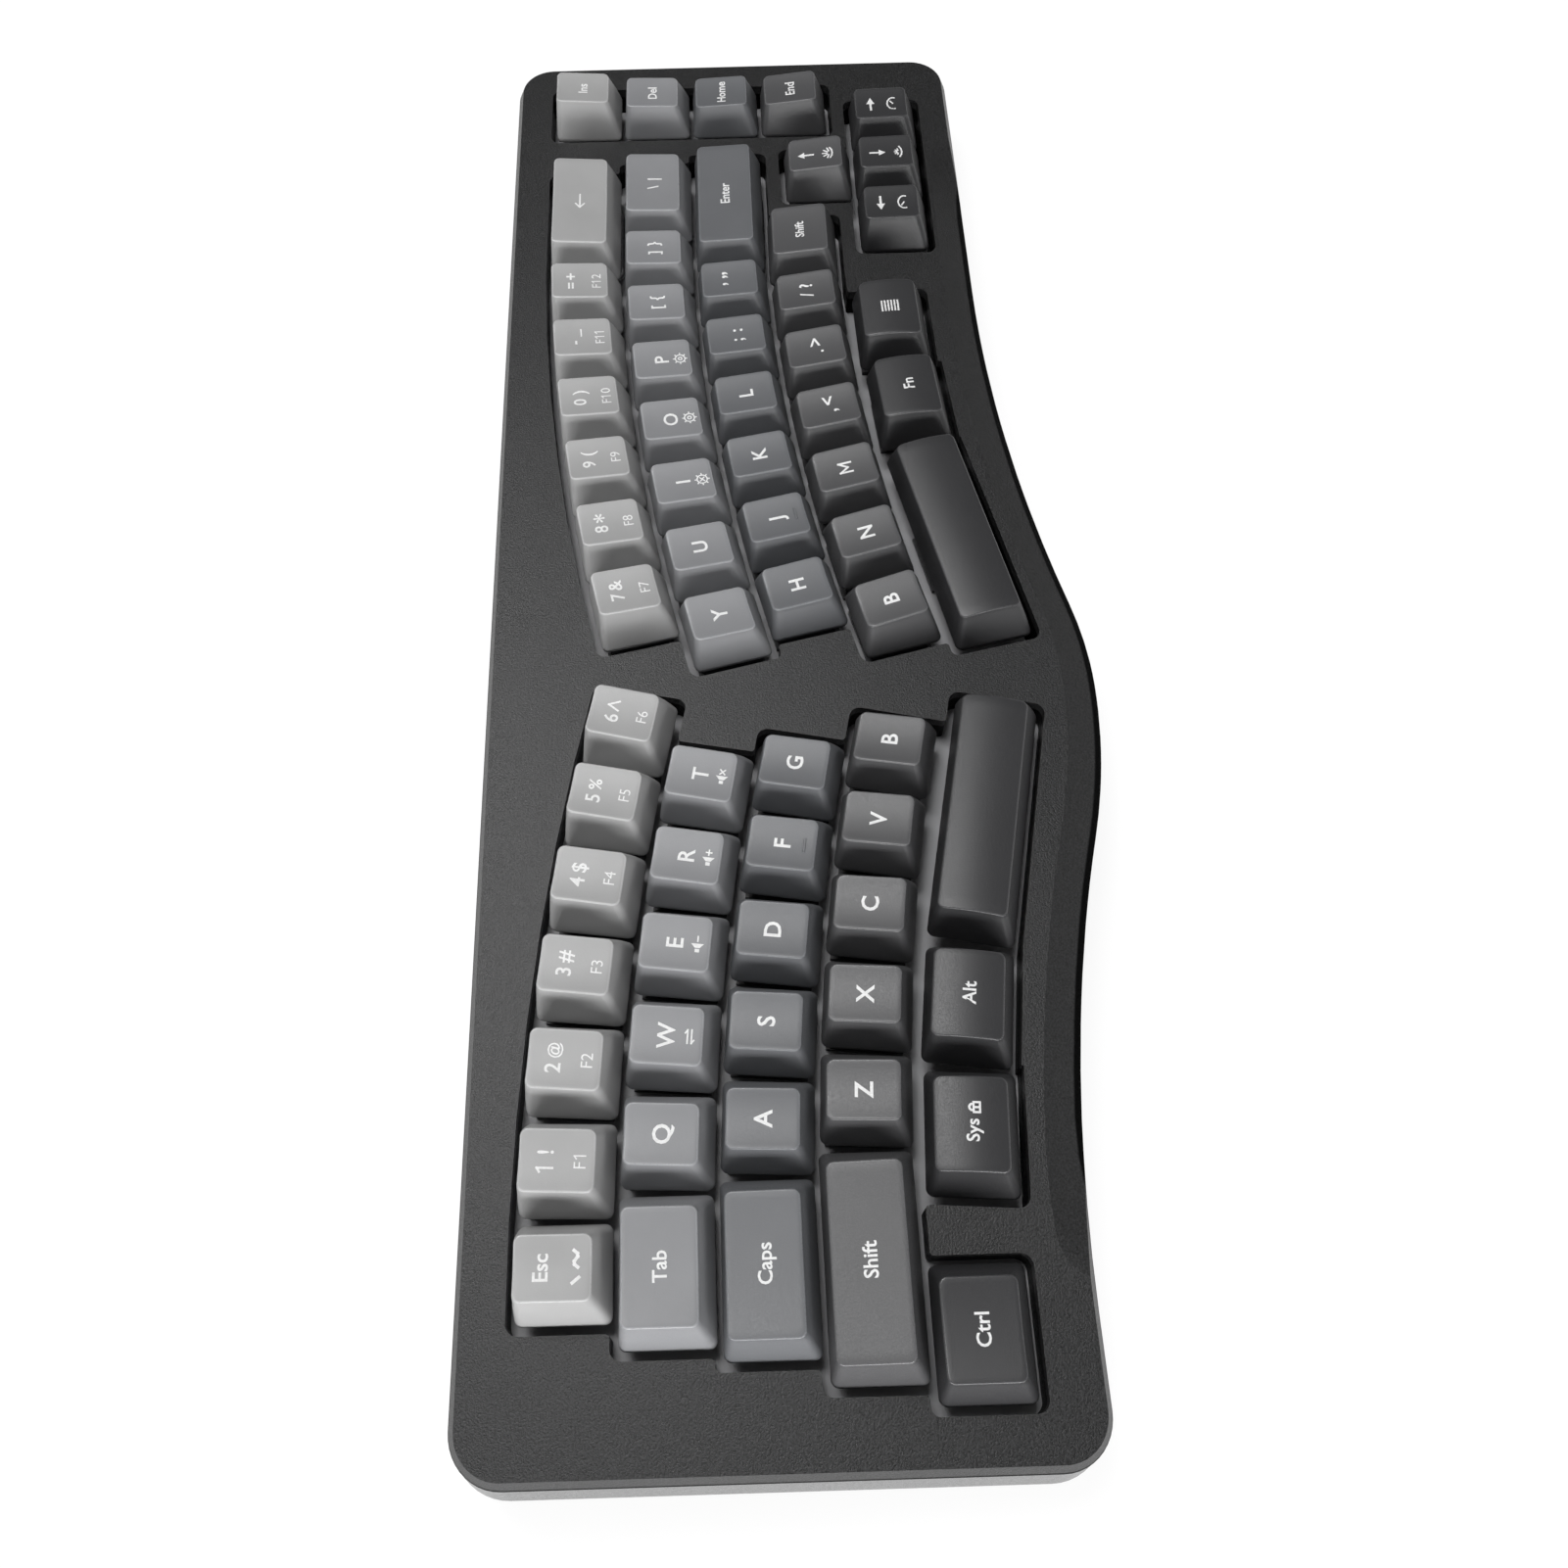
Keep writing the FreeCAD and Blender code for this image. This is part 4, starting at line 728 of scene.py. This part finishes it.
LEGENDS = {
    "escape": symbol("Esc", 2.7, 0.0, weight=PAIR_WEIGHT)
    + sign("grave", 0.6, -2.1, FUNCTION_Y) + sign("tilde", 0.6, 1.5, FUNCTION_Y),
    "digit_1": sign("one", 0.42, -1.4, DIGIT_Y) + symbol("!", DIGIT_HEIGHT, 1.5)
    + function_word("F", -0.9) + thin_one(0.9),
    "digit_2": numeral("2", -1.7) + symbol("@", 2.2, 1.7, weight=0.03) + function_word("F2"),
    "digit_3": digit("3", "#", "F3"),
    "digit_4": digit("4", "$", "F4"),
    "digit_5": numeral("5", -1.7) + symbol("%", 2.6, 1.5) + function_word("F5"),
    "digit_6": numeral("6", -1.5) + sign("hat", 0.42, 1.6, DIGIT_Y) + function_word("F6"),
    "digit_7": digit("7", "&", "F7"),
    "digit_8": numeral("8", -1.5) + symbol("*", 4.0, 1.6, 1.4) + function_word("F8"),
    "digit_9": digit("9", "(", "F9"),
    "digit_0": pair("0", ")", DIGIT_HEIGHT, DIGIT_Y, DIGIT_WEIGHT)
    + function_word("F", -1.8) + thin_one(-0.1) + function_word("0", 1.6),
    "minus": pair("-", "_", DIGIT_HEIGHT, DIGIT_Y)
    + function_word("F", -1.5) + thin_one(0.2) + thin_one(1.7),
    "equals": pair("=", "+", DIGIT_HEIGHT, DIGIT_Y)
    + function_word("F", -1.8) + thin_one(-0.1) + function_word("2", 1.6),
    "backspace": sign("left", BOLD_SIGN_WEIGHT),
    "tab": word("Tab"), "caps_lock": word("Caps"), "left_shift": word("Shift"),
    "control": word("Ctrl"), "alt": word("Alt"), "function": word("Fn"),
    "super": symbol("Sys", 2.4, -1.3, 0.0, WORD_WEIGHT)
    + sign("lock", BOLD_SIGN_WEIGHT, 3.0, -0.4),
    "menu": sign("list", BOLD_SIGN_WEIGHT),
    "enter": word("Enter", 2.4), "right_shift": word("Shift", 2.2),
    "insert": word("Ins", 2.4), "delete": word("Del", 2.4), "home": word("Home", 2.3),
    "end": word("End", 2.5),
    "left_b": letter("B"), "right_b": letter("B"), "m": sign("m", 0.5),
    "backslash": pair("\\", "|", 2.8), "right_bracket": pair("]", "}", 2.8),
    "left_bracket": pair("[", "{", 2.8), "semicolon": pair(";", ":", 3.4),
    "apostrophe": pair("\u2019", "\u201d", 3.6, 0.0, 0.1), "comma": pair(",", "<", 3.4),
    "period": pair(".", ">", 3.4), "slash": pair("/", "?"),
    "w": with_sign("W", "swap"), "e": with_sign("E", "softer"), "r": with_sign("R", "louder"),
    "t": with_sign("T", "mute"), "p": with_sign("P", "cog"), "o": with_sign("O", "cog"),
    "i": with_sign("I", "cog_cross"),
    "up_arrow": arrow("arrow_up", 0.55, ARROW_Y, "brighter", LIGHT_SIGN_Y),
    "down_arrow": arrow("arrow_down", 0.55, ARROW_Y, "dimmer", LIGHT_SIGN_Y),
    "left_arrow": arrow("arrow_left", 0.6, SIDE_ARROW_Y, "slower", SPEED_SIGN_Y),
    "right_arrow": arrow("arrow_right", 0.6, SIDE_ARROW_Y, "faster", SPEED_SIGN_Y),
}
for name in "qyuasdfghjklzxcvn":
    LEGENDS[name] = letter(name.upper())


def make_legend(key, parts):
    points = []
    faces = []
    for kind, what, height, x, y, weight in parts:
        if kind == "text":
            pieces = [text_outline(what, height, weight)]
        else:
            lines, shapes = SIGNS[what]
            pieces = [strokes(lines, weight), filled(shapes)]
        for drawn, joined in pieces:
            first = len(points)
            points += [(px + x, py + y - height / 2 + TOP_SHIFT, pz) for px, py, pz in drawn]
            faces += [tuple(first + i for i in face) for face in joined]
    legend = mesh_piece("legend_" + key.name, laid_on(key, points), faces, ink, key.place)
    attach(legend, key.node)


for name, parts in LEGENDS.items():
    make_legend(keys[name], parts)


BAR_Y = -4.6
BAR_LEVELS = [(1.7, 0.35, -0.2), (1.5, 0.15, 0.25)]


def homing_bar(key):
    """A small raised bar that a finger finds without looking."""
    points = []
    for half_x, half_y, z in BAR_LEVELS:
        for x, y in ((-1, -1), (1, -1), (1, 1), (-1, 1)):
            points.append((x * half_x, y * half_y + BAR_Y + TOP_SHIFT, z))
    bar = mesh_piece("bar_" + key.name, laid_on(key, points), BLOCK_FACES,
                     cap_materials[ROW_SLOTS[key.row]], key.place)
    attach(bar, key.node)


homing_bar(keys["f"])
homing_bar(keys["j"])


# Camera: looks down on the left end of the keyboard, with the keyboard's right end at the
# top of the picture.

CAMERA_PLACE = Vector((-0.185157, -0.008887, 0.298591))
CAMERA_RIGHT = Vector((-0.028668, -0.995096, -0.094671))
CAMERA_DOWN = Vector((-0.899418, 0.067004, -0.431923))
CAMERA_FORWARD = Vector((0.436148, 0.072766, -0.896928))
CAMERA_LENS = 32.288
CAMERA_SENSOR = 36
CAMERA_SHIFT = (0.03326, 0.01525)

camera_data = bpy.data.cameras.new("camera")
camera = bpy.data.objects.new("camera", camera_data)
bpy.context.scene.collection.objects.link(camera)
bpy.context.scene.camera = camera
turn = Matrix((CAMERA_RIGHT, -CAMERA_DOWN, -CAMERA_FORWARD)).transposed().to_4x4()
camera.matrix_world = Matrix.Translation(CAMERA_PLACE) @ turn
camera_data.sensor_width = CAMERA_SENSOR
camera_data.lens = CAMERA_LENS
camera_data.shift_x, camera_data.shift_y = CAMERA_SHIFT
camera_data.clip_start = 0.01


# Studio: soft lights from above, the left end, the front and the rear, dim surroundings that
# the camera sees as white, and a pale floor. Each light has its place, its aim, its two sizes
# and its power.

SOFTBOXES = [
    ("softbox_over", (0.2, 0.14, 0.88), (-0.04, 0, 0), 0.36, 0.5, 6),
    ("softbox_left_end", (-0.6, 0, 0.11), (-0.1, 0, 0.02), 0.8, 0.2, 4.4),
    ("softbox_front", (0, -0.9, 0.5), (0, 0, 0), 1.2, 0.4, 1.2),
    ("softbox_rear", (0, 0.9, 0.5), (0, 0, 0), 1.2, 0.4, 1.6),
]
SKY_STRENGTH = 0.11
FLOOR_HALF = 3.0
FLOOR_DROP = 0.0004
FLOOR_COLOUR = (0.8, 0.8, 0.8, 1)
FLOOR_ROUGHNESS = 0.8
FLOOR_GLOW = 1.1
FLOOR_GLOW_SHARE = 0.8
WHITE = (1, 1, 1, 1)


def area_light(name, place, aim, size_x, size_y, power):
    data = bpy.data.lights.new(name, "AREA")
    data.shape = "RECTANGLE"
    data.size = size_x
    data.size_y = size_y
    data.energy = power
    light = bpy.data.objects.new(name, data)
    bpy.context.scene.collection.objects.link(light)
    light.location = place
    light.rotation_euler = (Vector(aim) - Vector(place)).to_track_quat("-Z", "Y").to_euler()


for softbox in SOFTBOXES:
    area_light(*softbox)

world = bpy.data.worlds.new("surroundings")
bpy.context.scene.world = world
world.use_nodes = True
sky = world.node_tree.nodes["Background"]
sky.inputs["Color"].default_value = WHITE
sky.inputs["Strength"].default_value = SKY_STRENGTH
seen = world.node_tree.nodes.new("ShaderNodeBackground")
seen.inputs["Color"].default_value = WHITE
seen.inputs["Strength"].default_value = 1.0
path = world.node_tree.nodes.new("ShaderNodeLightPath")
mix = world.node_tree.nodes.new("ShaderNodeMixShader")
link(world.node_tree, path.outputs["Is Camera Ray"], mix.inputs["Fac"])
link(world.node_tree, sky.outputs["Background"], mix.inputs[1])
link(world.node_tree, seen.outputs["Background"], mix.inputs[2])
link(world.node_tree, mix.outputs["Shader"],
     world.node_tree.nodes["World Output"].inputs["Surface"])


def make_floor():
    """A floor that glows white to the camera and in reflections, and still takes a shadow."""
    mesh = bpy.data.meshes.new("floor")
    half = FLOOR_HALF
    mesh.from_pydata([(-half, -half, 0), (half, -half, 0), (half, half, 0), (-half, half, 0)],
                     [], [(0, 1, 2, 3)])
    floor = bpy.data.objects.new("floor", mesh)
    bpy.context.scene.collection.objects.link(floor)
    floor.location.z = -FLOOR_DROP
    material, tree, shader = new_material("floor_white")
    shader.inputs["Base Color"].default_value = FLOOR_COLOUR
    shader.inputs["Roughness"].default_value = FLOOR_ROUGHNESS
    glow = tree.nodes.new("ShaderNodeEmission")
    glow.inputs["Color"].default_value = WHITE
    glow.inputs["Strength"].default_value = FLOOR_GLOW
    path = tree.nodes.new("ShaderNodeLightPath")
    either = tree.nodes.new("ShaderNodeMath")
    either.operation = "MAXIMUM"
    link(tree, path.outputs["Is Camera Ray"], either.inputs[0])
    link(tree, path.outputs["Is Glossy Ray"], either.inputs[1])
    part = tree.nodes.new("ShaderNodeMath")
    part.operation = "MULTIPLY"
    part.inputs[1].default_value = FLOOR_GLOW_SHARE
    link(tree, either.outputs["Value"], part.inputs[0])
    mix = tree.nodes.new("ShaderNodeMixShader")
    link(tree, part.outputs["Value"], mix.inputs["Fac"])
    link(tree, shader.outputs["BSDF"], mix.inputs[1])
    link(tree, glow.outputs["Emission"], mix.inputs[2])
    link(tree, mix.outputs["Shader"], tree.nodes["Material Output"].inputs["Surface"])
    mesh.materials.append(material)


make_floor()
bpy.context.scene.view_settings.view_transform = "Standard"
